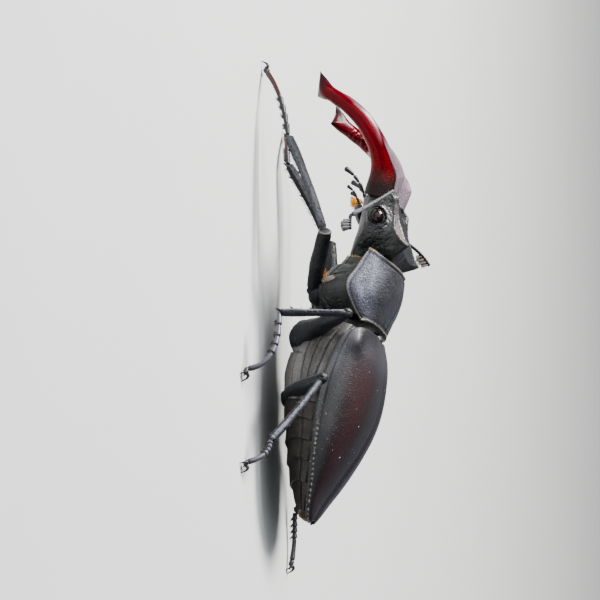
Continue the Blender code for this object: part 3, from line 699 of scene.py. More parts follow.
def jaw_finish():
    """Polished horn: dark brown-grey at the root, blood red along the length, black on the tip and teeth,
    with a painted pale sheen, a painted dark line beside it and red painted darker as shade in the middle of
    its length.
    """
    f = Finish("jaw_horn", Specular_IOR_Level=0.15)
    along, tooth = f.mark("along"), f.mark("tooth")
    clouds = f.noise(1.6, 4.0)
    grains = f.spots(0.30).between(0.15, 0.55)
    speckle = (1 - grains) * (1 - along.between(0.18, 0.5))
    red = f.mix(clouds.between(0.3, 0.7), (0.088, 0.0008, 0.004), (0.175, 0.0020, 0.009))
    # Painted shade: the red is darkened from a third to three quarters of the way along, where the key light
    # falls strongest.
    red = f.mix(along.between(0.35, 0.75) * 0.55, red, (0.050, 0.0006, 0.003))
    red = f.mix(speckle * 0.45, red, (0.26, 0.018, 0.007))
    root = f.mix(clouds, (0.012, 0.008, 0.008), (0.030, 0.018, 0.016))
    red = f.mix((along + (clouds - 0.5) * 0.10).between(0.05, 0.20), root, red)
    # Pale lilac painted sheen, standing in for the sky's reflection on the jaw.
    red = f.mix(f.mark("bloom") * (0.5 + 0.6 * clouds), red, (0.19, 0.155, 0.18))
    # Painted dark line: a painted dark reflection along the ridge.
    red = f.mix(f.mark("line") * 0.9, red, (0.008, 0.004, 0.005))
    tip = (along + (clouds - 0.5) * 0.06).between(0.87, 0.97)
    tip = tip.math("MAXIMUM", tip, tooth.between(0.35, 0.95))
    f.set(Base_Color=f.mix(tip * 0.93, red, (0.010, 0.003, 0.005)),
          Roughness=(0.15 + 0.22 * (1 - along.between(0.05, 0.3)) + 0.08 * clouds + 0.05 * (1 - grains)
                     + 0.18 * tip))
    f.bumps((f.noise(0.5, 3.0), 0.012), (grains * (1 - along.between(0.1, 0.5)), 0.03))
    return f.material


def leg_finish():
    """Black horn with scattered pits, which marks turn blue-grey with a painted sheen, chestnut, or pale; the
    pale on the front thighs' lobes and the far feeler's comb is a painted glint.
    """
    f = Finish("leg_horn", Specular_IOR_Level=0.36, Coat_Roughness=0.2, Sheen_Weight=0.05,
               Sheen_Roughness=0.4, Sheen_Tint=(0.7, 0.78, 1.0))
    clouds = f.noise(1.5, 4.0)
    pit = f.spots(0.42).between(0.12, 0.40)
    ground = f.mix(clouds.between(0.35, 0.7), (0.006, 0.006, 0.007), (0.015, 0.0155, 0.020))
    # Blue-grey painted sheen where this mark lies: on the shanks' outer faces, and a lighter tone on the
    # feelers.
    ground = f.mix(f.mark("worn") * (0.6 + 0.4 * clouds), ground, (0.190, 0.190, 0.235))
    ground = f.mix(f.mark("chestnut"), ground, (0.040, 0.010, 0.007))
    ground = f.mix(f.mark("pale"), ground, (0.42, 0.36, 0.30))
    f.set(Base_Color=f.mix((1 - pit) * 0.7, ground, (0.004, 0.004, 0.005)),
          Roughness=0.42 + 0.16 * clouds + 0.15 * (1 - pit) + 0.12 * f.mark("worn") + 0.25 * f.mark("matt"),
          Coat_Weight=0.04 * clouds.between(0.3, 0.6))
    f.bumps((f.noise(0.18, 3.0), 0.010), (pit, 0.035))
    return f.material


def foot_finish():
    """Dark horn that marks turn grey where a painted sheen lies and chestnut where it is thin."""
    f = Finish("foot_horn", Specular_IOR_Level=0.38, Coat_Roughness=0.25)
    clouds = f.noise(0.8, 4.0)
    ground = f.mix(clouds, (0.010, 0.010, 0.013), (0.030, 0.029, 0.037))
    # Grey painted sheen, which lies on the near feet only.
    ground = f.mix(f.mark("worn") * (0.5 + 0.5 * clouds), ground, (0.11, 0.105, 0.135))
    f.set(Base_Color=f.mix(f.mark("chestnut"), ground, (0.036, 0.003, 0.004)),
          Roughness=0.30 + 0.2 * clouds, Coat_Weight=0.2 * clouds)
    f.bumps((f.noise(0.12, 3.0), 0.010), (f.spots(0.22).between(0.1, 0.4), 0.015))
    return f.material


def eye_finish():
    """Very dark maroon and polished, with its fine facets as a shallow honeycomb."""
    f = Finish("eye_lens", Specular_IOR_Level=0.45)
    clouds = f.noise(0.9, 3.0)
    f.set(Base_Color=f.mix(clouds, (0.006, 0.003, 0.004), (0.020, 0.006, 0.008)),
          Roughness=0.08 + 0.08 * clouds)
    f.bumps((f.spots(0.07), 0.003))
    return f.material


def hair_finish(name, dark, light):
    """Hair whose colour varies from one to the next."""
    f = Finish(name, Specular_IOR_Level=0.4, Sheen_Weight=0.2)
    shade = (f.mark("shade") + 0.4 * (f.noise(0.6, 2.0) - 0.5)).between(0.0, 1.0)
    f.set(Base_Color=f.mix(shade, dark, light), Roughness=0.42 + 0.18 * shade)
    return f.material


def membrane_finish():
    """Soft amber skin between two plates, in fine folds."""
    f = Finish("neck_membrane_skin", Specular_IOR_Level=0.4)
    folds = f.noise(0.35, 4.0)
    f.set(Base_Color=f.mix(folds, (0.20, 0.060, 0.012), (0.50, 0.20, 0.05)), Roughness=0.45 + 0.2 * folds)
    f.bumps((folds, 0.05))
    return f.material


def amber_belly_finish():
    """The belly's horn, which turns to clear amber where the last ring thins."""
    f = Finish("belly_ring_horn", Specular_IOR_Level=0.35, Coat_Roughness=0.22)
    clouds = f.noise(2.0, 4.0)
    pit = f.spots(0.30).between(0.10, 0.42)
    ground = f.mix(clouds.between(0.35, 0.7), (0.016, 0.014, 0.012), (0.040, 0.034, 0.029))
    ground = f.mix((1 - pit) * 0.5, ground, (0.006, 0.005, 0.005))
    f.set(Base_Color=f.mix(f.mark("amber"), ground, (0.050, 0.030, 0.008)),
          Roughness=0.32 + 0.16 * clouds + 0.12 * (1 - pit) + 0.15 * f.mark("amber"),
          Coat_Weight=0.10 * clouds.between(0.3, 0.6))
    f.bumps((f.noise(0.16, 3.0), 0.010), (pit, 0.024))
    return f.material


BLACK = shell_finish("black_horn", (0.007, 0.0075, 0.0075), (0.016, 0.017, 0.016), rough=0.34,
                     pit_size=0.26, pit_depth=0.030, grain=0.012, sheen=0.05)
SHIELD_HORN = shell_finish("neck_shield_horn", (0.010, 0.010, 0.011), (0.021, 0.021, 0.023), rough=0.46,
                           pit_size=0.22, pit_depth=0.040, grain=0.024, sheen=0.06)
# The breast's horn is lighter than the belly rings': partly the grey of its down, partly painted light for
# sun on the breast.
BELLY_HORN = shell_finish("belly_horn", (0.032, 0.029, 0.027), (0.098, 0.091, 0.085), rough=0.40,
                          pit_size=0.30, pit_depth=0.022, grain=0.010, sheen=0.06)
AMBER_BELLY = amber_belly_finish()
WING_CASE = wing_case_finish()
JAW_HORN = jaw_finish()
LEG_HORN = leg_finish()
FOOT_HORN = foot_finish()
EYE_LENS = eye_finish()
GOLD_HAIR = hair_finish("gold_hair", (0.36, 0.20, 0.06), (0.85, 0.66, 0.34))
BREAST_HAIR = hair_finish("breast_down", (0.10, 0.080, 0.055), (0.30, 0.25, 0.18))
BRUSH_HAIR = hair_finish("brush_hair", (0.90, 0.32, 0.02), (1.0, 0.62, 0.10))
BROWN_HAIR = hair_finish("brown_bristle", (0.012, 0.008, 0.007), (0.07, 0.040, 0.025))
MEMBRANE = membrane_finish()


# ---------------------------------------------------------------- wing cases, hind body and belly

def arch(half_width, top, margin, y, turn):
    """Roof from the middle line, turn 0, down to the margin, turn pi/2: x follows a power of the sine of
    turn, z a power of its cosine."""
    x = half_width * np.sin(turn) ** 0.92
    z = margin + (top - margin) * np.cos(turn) ** 0.85
    return xyz(x, y, z)


def hind_sizes(y):
    """Half width, top, margin height and belly height of the hind body at y."""
    body = curve(HIND_BODY, y)
    return curve(CASE_PLAN, y)[..., 0], body[..., 0], body[..., 1], body[..., 2]


def wing_case_relief(outer, y, turn, down):
    """Raised rim with a groove and small beads beside it, a slightly raised suture, a knob at the shoulder, a
    shallow dent beside the knob, slow waves and fine punctures."""
    x = outer[..., 0]
    beads = 0.10 * (1 - pits(outer, 0.36, 3.0)) * bump(down, 0.035, 0.035) * ease(y, 6.0, 12.0)
    return (0.14 * bump(down, 0.0, 0.020) - 0.13 * bump(down, 0.070, 0.022) + beads
            + (0.07 * bump(x, 0.0, 0.30) - 0.07 * bump(x, 0.75, 0.25)) * ease(y, 1.0, 4.0)
            + 0.45 * bump(y, 2.3, 1.1) * bump(turn, 1.20, 0.14)
            - 0.16 * bump(y, 2.0, 1.4) * bump(turn, 0.80, 0.26)
            + 0.05 * ripple(outer, 3.2) + 0.006 * ripple(outer, 0.9) - 0.014 * dimples(outer, 0.5, 0.30))


def wing_case_marks(outer, y, turn, down):
    """Where a wing case is maroon and dusty, where painted sheen lightens it at its lateral edge and on its
    shoulder, front and suture, and where painted glints dot its rear margin.

    The dots are bells at even steps of y, shifted by noise. Their row moves in from the margin as the case
    narrows.
    """
    # Painted sheen and highlights: shoulder, front of the margin, front of the top and along the suture.
    bloom = (0.6 * bump(y, 1.6, 1.3) * bump(turn, 1.27, 0.15)
             + 0.7 * bump(down, 0.10, 0.08) * bump(y, 5.0, 2.2)
             + 0.22 * bump(y, 3.2, 2.2) * (1 - ease(turn, 0.8, 1.1)) + 0.10 * (1 - ease(turn, 0.25, 0.55)))
    narrow = ease(y, 18.0, CASE_LENGTH)
    # Painted glints: a row of white dots on the granules beside the rear margin.
    bead = (bump((y / 0.66 + 0.4 * ripple(outer, 1.4)) % 1, 0.5, 0.17)
            * bump(down, 0.050 + 0.10 * narrow, 0.022 + 0.07 * narrow)
            * ease(y, 13.5, 16.0) * (0.75 + 0.45 * ripple(outer, 0.8) + 0.5 * narrow))
    return {"band": bump(turn, 0.80, 0.38) * ease(y, 1.0, 7.0) * (1 - 0.5 * ease(y, 22.0, 26.0)),
            "dusty": 1.6 * bump(down, 0.03, 0.05) * ease(y, 7.0, 13.0) + 0.25 * bump(turn, 1.15, 0.3),
            "edge": ease(turn, 1.00, 1.35), "bead": bead, "bloom": bloom}


def build_wing_case(side, name):
    """Wing case: an arch that thins to its margin. Its front is notched for the scutellum by a bell of the
    way across, and its rear is rounded off at the suture by another."""
    s, share = np.linspace(0, 1, 190)[:, None], np.linspace(0, 1, 150)[None]
    turn = (share - 0.6 * np.sin(2 * pi * share) / (2 * pi)) * pi / 2     # columns lie closer at both edges
    reach = np.sin(turn) ** 0.92
    front = 0.25 + 1.15 * bump(8.5 * reach, 0.0, 1.25) + 1.1 * (turn / (pi / 2)) ** 9
    rear = CASE_LENGTH - 0.25 - 0.5 * bump(turn, 0.0, 0.25)
    y = front + (rear - front) * s
    half_width, top, margin, _ = hind_sizes(y)
    outer = arch(half_width, top, margin, y, turn)
    wall = np.minimum(CASE_WALL, 0.3 * half_width)
    inner = arch(half_width - wall, top - np.minimum(CASE_WALL, 0.45 * (top - margin)), margin, y, turn)
    down = pi / 2 - turn
    relief = wing_case_relief(outer, y, turn, down)
    outer = raised(outer, relief * ease(s, -0.02, 0.02), inner, wrap=False)
    inset = SUTURE + CASE_WALL / 2
    for grid in (outer, inner):
        grid[..., 0] = side * (inset + grid[..., 0] * (1 - inset / half_width))
    skin = plate_skin(in_trunk(outer), in_trunk(inner), **wing_case_marks(outer, y, turn, down))
    piece("wing_case_" + name, [skin], WING_CASE, ["wing_case_" + name], merge=True)


def build_scutellum():
    """Small rounded triangle between the roots of the wing cases: a low dome over an outline that narrows
    backwards, its radius a sum of cosines of one and three times the angle."""
    a = np.arange(96)[None] * 2 * pi / 96
    level = np.linspace(0, 1, 26)[:, None]
    reach = (1 + 0.10 * np.cos(3 * (a + pi / 2))) * np.sqrt(1 - level ** 2.4)
    grid = xyz(1.55 * np.cos(a) * reach, 0.28 + 0.98 * np.sin(a) * reach,
               3.0 + 1.62 * level - 0.12 * np.sin(a) * reach)
    grid = raised(grid, -0.05 * dimples(grid, 0.35, 0.35))
    piece("scutellum_plate", [rings_skin(in_trunk(grid))], BLACK, ["scutellum"])


def belly_rings(y):
    """Rings of the body under the wing cases, from the middle of its roof round each flank to the middle of
    the belly: powers of cosine and sine of phi, the angle down from the margin, which is negative on the
    roof. Gives the rings and phi."""
    half_width, top, margin, belly = (v[:, None] for v in hind_sizes(y))
    wall = np.minimum(0.9, 0.35 * half_width) + 0.4
    roof = arch(half_width - wall, top - np.minimum(0.9, 0.5 * (top - margin)) - 0.4, margin - 0.2,
                y[:, None], np.linspace(0, pi / 2, BELLY_ROOF)[None])
    phi = np.linspace(0, pi / 2, 110)[None]
    x = (half_width - UNDERCUT) * np.cos(phi) ** 0.8
    z = (margin - 0.2) + (belly - margin + 0.2) * np.sin(phi) ** 0.9
    half = np.concatenate([roof, xyz(x, y[:, None], z)], axis=1)
    angle = np.concatenate([np.full(BELLY_ROOF, -1.0), phi[0]])
    return mirrored(half), np.concatenate([angle, angle[-2:0:-1]])[None]


def build_hind_thorax():
    """Breast plates: long side plates parted by grooves that fan out from the middle hip, a seam between
    middle and hind breast, and a furrow along the middle."""
    y = np.linspace(0.1, THORAX_END, 130)
    rings, phi = belly_rings(y)
    y = y[:, None]
    below = ease(phi, 0.0, 0.08)
    grooves = sum(bump(phi, start + slope * ease(y, 2.0, 11.0), 0.016)
                  for start, slope in ((0.13, 0.02), (0.34, -0.06), (0.56, -0.10), (0.80, -0.12)))
    plates = 0.16 * np.sin((phi - 0.13) / 0.22 * pi) * bump(phi, 0.45, 0.45)
    relief = below * (-0.24 * grooves * ease(y, 1.0, 3.0) + plates * ease(y, 1.0, 3.0)
                      - 0.28 * bump(y, 4.4 + 1.2 * np.cos(phi), 0.12) * ease(phi, 0.55, 0.7)
                      - 0.22 * bump(phi, pi / 2, 0.03) + 0.06 * ripple(rings, 1.6)
                      - 0.05 * dimples(rings, 0.42, 0.34))
    grid = in_trunk(raised(rings, relief))
    seam = np.clip(1.3 * grooves, 0, 1) * below * ease(y, 1.0, 3.0) + 0.5 * bump(phi, 0.20, 0.07)
    # Painted sheen and painted highlight on a band of the side plates, standing in for sunlight there.
    pale = bump(phi, 0.72, 0.28) * ease(y, 3.5, 6.0)
    skin = rings_skin(grid, seam=seam, bloom=0.6 * pale, rim=0.36 * pale)
    piece("hind_thorax_plates", [skin], BELLY_HORN, ["hind_thorax"])
    return grid


def build_abdomen():
    """Belly of five rings: each rises a little towards its rear edge and steps down to the next. A fold runs
    along each flank, and the last ring is amber at its tip."""
    y = np.linspace(THORAX_END + 0.1, CASE_LENGTH - 0.3, 240)
    rings, phi = belly_rings(y)
    place = y[:, None] + 0.9 * np.cos(phi) ** 2 - 0.35 * bump(phi, 0.0, 0.30)
    ends = np.array(RING_ENDS)
    which = np.clip(np.searchsorted(ends, place) - 1, 0, len(ends) - 2)
    share = np.clip((place - ends[which]) / (ends[which + 1] - ends[which]), 0, 1)
    step = share ** 1.6 * (1 - ease(share, 0.93, 1.0)) + bump(share, 0.0, 0.02) * -0.3
    below = ease(phi, 0.0, 0.10)
    relief = below * (0.30 * step - 0.26 * bump(phi, 0.30, 0.028) + 0.10 * bump(phi, 0.20, 0.06)
                      + 0.05 * ripple(rings, 1.4) - 0.045 * dimples(rings, 0.40, 0.34))
    grid = in_trunk(raised(rings, relief))
    amber = ease(y, 24.6, 25.8)[:, None] * below
    piece("abdomen_rings", [rings_skin(grid, amber=amber)], AMBER_BELLY, ["abdomen"])
    return grid


# ---------------------------------------------------------------- neck shield and prothorax

def shield_grid(drop, narrow, v, across):
    """Domed sheet: x follows the sine of the way across, z its cosine, and the side margins lie further
    forward or back than the middle by a power of the way across."""
    y_mid, z_mid, x_side, y_side, z_side, _ = np.moveaxis(curve(SHIELD, v), -1, 0)
    turn = across * pi / 2
    x = (x_side - narrow) * np.sin(turn)
    y = y_mid + (y_side - y_mid) * np.abs(across) ** 2.2
    z = z_side + (z_mid - drop - z_side) * np.abs(np.cos(turn)) ** 0.8
    return xyz(x, y, z)


def build_neck_shield():
    """Neck shield with a raised rim all round, a furrow inside its front rim, a faint line along the middle
    and a dimple inside each side corner."""
    v = np.linspace(0.02, 0.985, 160)[:, None]
    widest = 0.985
    across = np.sin(np.linspace(-1, 1, 231) * pi / 2 * widest)[None] / np.sin(pi / 2 * widest) * widest
    outer = shield_grid(0, 0, v, across)
    inner = shield_grid(SHIELD_WALL, SHIELD_WALL, v, across)
    side = 1 - np.abs(across)
    corner = bump(v, 0.52, 0.13) * bump(np.abs(across), 0.80, 0.07)
    relief = (0.16 * bump(side, 0.0, 0.010) - 0.13 * bump(side, 0.028, 0.012)
              + 0.14 * bump(v, 0.0, 0.016) - 0.16 * bump(v, 0.050, 0.018) + 0.06 * bump(v, 1.0, 0.02)
              - 0.06 * bump(v, 0.95, 0.025) - 0.10 * bump(across, 0.0, 0.018) * ease(v, 0.12, 0.3)
              - 0.34 * corner + 0.10 * bump(v, 0.62, 0.1) * bump(np.abs(across), 0.62, 0.1)
              + 0.06 * ripple(outer, 2.4) + 0.016 * ripple(outer, 0.7) - 0.040 * dimples(outer, 0.36, 0.36))
    outer = raised(outer, relief, inner, wrap=False)
    # Painted sheen along the shield's sides, fading towards its back edge.
    bloom = 0.93 * bump(np.abs(across), 0.84, 0.24) * (1 - 0.55 * ease(v, 0.60, 1.0))
    # Painted highlight: thin ivory lines along the side and front rims.
    rim = np.maximum(bump(side, 0.0, 0.014), bump(v, 0.0, 0.018))
    skin = plate_skin(in_trunk(outer), in_trunk(inner), bloom=bloom, rim=rim)
    piece("neck_shield_plate", [skin], SHIELD_HORN, ["neck_shield"], merge=True)
    return in_trunk(outer)


def build_prothorax():
    """Underside of the prothorax: flanks with a fold below the shield, a collar at the front, and a keel
    between the front hips. Each ring is a power of the cosine across and a power of the sine down."""
    rows = np.linspace(0.05, 0.95, 120)[:, None]
    roof = shield_grid(1.3, 1.3, rows, np.linspace(-0.88, 0.88, FLANK_ROOF)[None])
    _, _, x_side, y_side, z_side, z_belly = np.moveaxis(curve(SHIELD, rows), -1, 0)
    turn = np.linspace(0, pi, 181)[None]
    x = (x_side - FLANK_INSET) * np.sign(np.cos(turn)) * np.abs(np.cos(turn)) ** 0.85
    z = z_side - 0.2 + (z_belly - z_side + 0.2) * np.sin(turn) ** 0.7
    rings = np.concatenate([roof, xyz(x, y_side * 0.86 - 0.4, z)], axis=1)
    turn = np.concatenate([np.full(FLANK_ROOF, -1.0), turn[0]])[None]
    flank = np.minimum(np.abs(turn), np.abs(pi - turn))
    below = ease(flank, 0.02, 0.2) * (turn >= 0)
    relief = below * (-0.26 * bump(flank, 0.45 + 0.25 * rows, 0.03)
                      - 0.20 * bump(flank, 0.95 - 0.5 * rows, 0.04)
                      + 0.16 * bump(flank, 0.78, 0.10) * bump(rows, 0.35, 0.2)
                      + 0.18 * bump(rows, 0.05, 0.04) - 0.2 * bump(rows, 0.16, 0.03)
                      - 0.16 * bump(rows, 0.30 + 0.1 * np.sin(3 * flank), 0.02)
                      + 0.55 * bump(rings[..., 0], 0.0, 0.55) * ease(rows, 0.25, 0.6)
                      + 0.08 * ripple(rings, 1.3) - 0.06 * dimples(rings, 0.42, 0.34))
    grid = in_trunk(raised(rings, relief))
    piece("prothorax_flanks", [rings_skin(grid)], BLACK, ["prothorax"])
    return grid


# ---------------------------------------------------------------- head

# crown, brow, crest, keel, cheek, jowl and throat, and how sharp the outline is at each of them
HEAD_KNOTS = np.array([0.0, 0.22, 0.36, 0.5, 0.66, 0.84, 1.0])
HEAD_EDGES = (0.0, 0.0, 0.85, 0.85, 0.0, 0.0, 0.0)


def head_outlines(y, s):
    """Half cross-sections of the head at y, read at s from crown to throat."""
    rows = curve(HEAD, y, [0, 0, 0.3, 0.75, 0, 0, 0, 0, 0, 0.3])
    crown, xr, zr, xd, zd, xc, zc, xj, zj, throat = rows.T
    zero = np.zeros_like(crown)
    outline = np.stack([np.stack([zero, crown], -1), np.stack([xr * 0.72, crown + 0.25 * (zr - crown)], -1),
                        np.stack([xr, zr], -1), np.stack([xd, zd], -1), np.stack([xc, zc], -1),
                        np.stack([xj, zj], -1), np.stack([zero, throat], -1)])
    half = curve((HEAD_KNOTS, outline), s, HEAD_EDGES)
    return np.moveaxis(half, 0, 1)


def head_rings(y, s):
    """Rings of the head, each from the crown down one side to the throat and up the other."""
    half = head_outlines(y, s)
    return mirrored(xyz(half[..., 0], y[:, None], half[..., 1]))


def face_rings(edge):
    """Rings that close the front of the head inside its foremost ring. They shrink as a power of the cosine
    of the way in. They first swell forward as a sine, then the face is hollowed as a cube."""
    centre = edge.mean(axis=0)
    shrink = np.cos(np.linspace(0, pi / 2, FACE_RINGS)[1:-1])[:, None, None] ** 0.6
    depth = np.linspace(0, 1, FACE_RINGS)[1:-1]
    inward = xyz(0, -0.35 * np.sin(depth * pi / 2 * 1.2) + 1.4 * depth ** 3, 0)
    return centre + (edge - centre) * shrink + inward[:, None]


def build_head():
    """Head: broad, with a hollow crown between two crests, a bevel from each crest to the keel below it,
    rough cheeks, a smooth steep back and a hollow face from which the jaws spring."""
    y = np.concatenate([np.linspace(2.4, 0.4, 26)[:-1], np.linspace(0.4, -0.5, 34)[:-1],
                        np.linspace(-0.5, -8.8, 150)])
    s = np.linspace(0, 1, 186)
    rings = head_rings(y, s)
    rings = np.concatenate([rings, face_rings(rings[-1])])
    s = np.concatenate([s, s[-2:0:-1]])[None]
    y, x, z = rings[..., 1], np.abs(rings[..., 0]), rings[..., 2]
    eye = np.sqrt(((y - EYE_CENTRE[1]) / EYE_RADII[1]) ** 2 + ((z - EYE_CENTRE[2]) / EYE_RADII[2]) ** 2)
    outside = ease(x, 5.0, 6.4)
    behind = ease(y, -0.6, 0.1)
    rough = (1 - behind) * (0.15 + 0.85 * bump(s, 0.62, 0.17))
    relief = (-0.30 * bump(eye, 1.12, 0.13) * outside + 0.16 * bump(eye, 1.45, 0.16) * outside
              + 0.12 * bump(s, 0.36, 0.012) * (1 - behind) + 0.10 * bump(s, 0.5, 0.012) * (1 - behind)
              - 0.16 * bump(x, 0.0, 0.9) * ease(y, -8.0, -5.0) * (z > 0) * (1 - behind)
              + 0.24 * bump(y, -8.4, 0.3) * (s < 0.34) - 0.18 * bump(y, -7.2, 0.6) * (s < 0.34)
              + 0.08 * ripple(rings, 2.0) + rough * 0.06 * ripple(rings, 0.6, 8.0)
              - rough * 0.11 * dimples(rings, 0.46, 0.36) - (1 - rough) * 0.035 * dimples(rings, 0.36, 0.34))
    grid = in_head(raised(rings, relief))
    # Painted highlight along each bevel from crest to keel: a sun glint put into colour, with some wear.
    worn = bump(s, 0.43, 0.05) * (1 - ease(y, -0.7, -0.3)) * ease(y, -7.5, -5.5)
    # Painted glints: light specks over the cheeks behind the eyes and on the front near the jaws.
    grit = (bump(s, 0.60, 0.10) * ease(y, -5.6, -4.2) * (1 - ease(y, -1.6, -0.4))
            + 0.5 * bump(y, -7.6, 0.8) * bump(s, 0.5, 0.15))
    piece("head_capsule", [rings_skin(grid, worn=worn, grit=grit)], BLACK, ["head"])


def build_eyes():
    """Eyes, each with the slim bar of horn that runs round its front and under it on an arc of an ellipse."""
    for side, name in SIDES:
        place = np.array([side * EYE_CENTRE[0], *EYE_CENTRE[1:]])
        lens = rings_skin(in_head(ellipsoid(place, EYE_RADII, 40, 56)))
        piece("eye_lens_" + name, [lens], EYE_LENS, ["eye_" + name])
        t = np.linspace(0, 1, 40)
        swing = np.radians(-200 + 150 * t)
        path = place + xyz(side * (0.05 + 0.20 * np.sin(t * pi)), 1.10 * EYE_RADII[1] * np.cos(swing),
                           1.10 * EYE_RADII[2] * np.sin(swing))
        bar = tube(path, 0.05 + 0.10 * np.sin(t * pi), 0.05 + 0.12 * np.sin(t * pi), 14, (1, 0, 0))
        piece("eye_bar_" + name, [rings_skin(in_head(bar))], BLACK)


def past(angle, start):
    """Degrees from start to angle, the short way round."""
    return (angle - start + 180) % 360 - 180


def jaw_rings(side, t):
    """Rings of a jaw and, for each point, how far up a tooth it is.

    A tooth is a hump raised from the tube. It falls off along the jaw as a power of the distance, for the
    small teeth of its square, and round the jaw as a bell.
    """
    x, y, z, high, wide = curve(JAW, t).T
    end = tapered(t, 0.93, 1.0, 0.02)
    rings = tube(xyz(x, y, z), high * end, wide * end, JAW_SIDES)
    angle = np.degrees(np.arange(JAW_SIDES) * 2 * pi / JAW_SIDES)[None]
    crest = np.zeros(rings.shape[:2])
    small = [(place, *SMALL_TOOTH) for place in SMALL_TEETH]
    for place, width, at, spread, shift in JAW_TEETH + small:
        away = np.minimum(1, np.abs(t[:, None] - place) / width)
        rise = (1 - away ** 2) ** 2 if width == SMALL_TOOTH[0] else (1 - away) ** 1.2
        hump = rise * bump(past(angle, at), 0.0, spread)
        rings = rings + hump[..., None] * np.array(shift)
        if place > JAW_ROOT:
            crest = np.maximum(crest, hump * min(1.0, 2.0 * np.linalg.norm(shift)))
    ridge = 0.10 * bump(past(angle, 75), 0, 9) * (ease(t, 0.08, 0.3) * (1 - ease(t, 0.8, 0.95)))[:, None]
    keel = 0.08 * bump(past(angle, 190), 0, 16) * ease(t, 0.1, 0.3)[:, None]
    rings = raised(rings, ridge + keel + 0.03 * ripple(rings, 1.2))
    return rings * (side, 1, 1), crest


def build_jaws():
    """Jaws: rings on a curved path, closely spaced where the teeth are, with a rounded root that turns in its
    socket. Painted pale sheen lies inside the painted dark line at the root and outside it farther on."""
    turn = np.arange(JAW_SIDES)[None] * 360 / JAW_SIDES
    t = np.concatenate([np.linspace(0, 0.32, 70)[:-1], np.linspace(0.32, 0.98, 330)[:-1],
                        np.linspace(0.98, 1, 12)])
    line = np.interp(t, JAW_LINE[0], JAW_LINE[1])[:, None]
    # Painted sheen on the root's upper side beyond the dark line, and a painted highlight stripe along the
    # flank.
    root = ease(turn - line, 1.0, 9.0) * (1 - ease(turn, 150.0, 190.0)) * (1 - ease(t, 0.28, 0.40))[:, None]
    flank = 0.8 * bump(turn, line - 17.0, 14.0) * (ease(t, 0.30, 0.44) * (1 - ease(t, 0.60, 0.80)))[:, None]
    # Painted dark line along the ridge, a painted dark reflection.
    painted_dark_line = bump(turn, line, 4.5) * (1 - 0.6 * ease(t, 0.7, 0.9))[:, None]
    for side, name in SIDES:
        rings, tooth = jaw_rings(side, t)
        skin = rings_skin(in_head(rings), along=t[:, None], tooth=tooth, bloom=root + flank, line=painted_dark_line)
        piece("jaw_horn_" + name, [skin], JAW_HORN, ["jaw_" + name])


# ---------------------------------------------------------------- mouth and feelers

def beads(path, cuts, radii, sides=18, steps=14):
    """Chain of short club-shaped joints along a path: each swells from its narrow root and is rounded off."""
    skins = []
    for start, end, (root, tip) in zip(cuts, cuts[1:], radii):
        s = np.linspace(0, 1, steps)
        radius = (root + (tip - root) * s) * rounded(s, 6, 0.05)
        skins.append(rings_skin(tube(on_path(path, start + (end - start) * s), radius, radius, sides)))
    return skins


def build_lips():
    """Upper lip, the plate it hangs from, and the chin: flat ellipsoids with pits. The lip droops with its
    distance from the middle squared, and at its front."""
    lip = ellipsoid((0, -9.5, 1.5), (2.3, 1.15, 0.55), 30, 48)
    lip[..., 2] -= 0.35 * np.abs(lip[..., 0] / 2.3) ** 2 + 0.35 * ease(-lip[..., 1], 9.6, 10.6)
    lip = raised(lip, -0.05 * dimples(lip, 0.4, 0.35))
    clypeus = ellipsoid((0, -8.9, 1.9), (2.9, 0.9, 0.9), 30, 48)
    clypeus = raised(clypeus, -0.06 * dimples(clypeus, 0.45, 0.35))
    chin = ellipsoid((0, -7.7, -1.75), (3.2, 1.6, 0.75), 30, 60)
    chin = raised(chin, -0.07 * dimples(chin, 0.45, 0.35) + 0.05 * ripple(chin, 0.9))
    plates = [rings_skin(in_head(grid)) for grid in (lip, clypeus, chin)]
    piece("upper_lip_plate", plates, BLACK, ["upper_lip"])


def build_tongue():
    """Orange tongue: two brushes of hairs that fan out from oval roots, each on a soft core."""
    count = 420
    roots, leans, places = [], [], []
    for side, _ in SIDES:
        a, b = rng.random(count) * 2 * pi, np.sqrt(rng.random(count))
        spread = xyz(0.30 * b * np.cos(a), 0.42 * b * np.sin(a), 0.1 * rng.random(count))
        roots.append(np.array([side * 0.42, -9.35, -1.35]) + spread)
        leans.append(np.array([side * 0.12, -0.50, -0.86]) + spread * 0.75)
        middle = (0.25 + 0.5 * (side > 0), 0.5)
        places.append(middle + 0.2 * spread[:, :2])
    roots, leans, places = (np.concatenate(v) for v in (roots, leans, places))
    length = 1.25 + 0.45 * rng.random(len(roots))
    hairs = hair_skin(in_head(roots), leans @ HEAD_TURN.T, length, 0.035, (0, 0.25, 0), places)
    piece("tongue_brush_hair", [hairs], BRUSH_HAIR, ["tongue_brush"])
    cores = [ellipsoid((side * 0.42, -9.6, -1.8), (0.30, 0.42, 0.75)) for side, _ in SIDES]
    piece("tongue_core", [rings_skin(in_head(core)) for core in cores], MEMBRANE)


def build_palps():
    """Two pairs of palps, long and short, each a chain of joints with a club end on a bent path."""
    for side, name in SIDES:
        long_palp = bent_path((side * 2.4, -9.0, -0.5), (side * 3.4, -12.0, -0.4),
                              (side * 4.0, -13.7, -2.2), 60)
        short_palp = bent_path((side * 1.1, -9.0, -1.5), (side * 1.7, -10.9, -1.6),
                               (side * 2.1, -11.7, -2.5), 60)
        skins = beads(long_palp, (0, 0.18, 0.45, 0.68, 1.0),
                      ((0.2, 0.24), (0.17, 0.3), (0.18, 0.28), (0.2, 0.4)))
        skins += beads(short_palp, (0, 0.3, 0.62, 1.0), ((0.16, 0.2), (0.14, 0.22), (0.15, 0.28)))
        for skin in skins:
            skin.points = in_head(skin.points)
        piece("palps_" + name, skins, FOOT_HORN, ["palp_" + name])


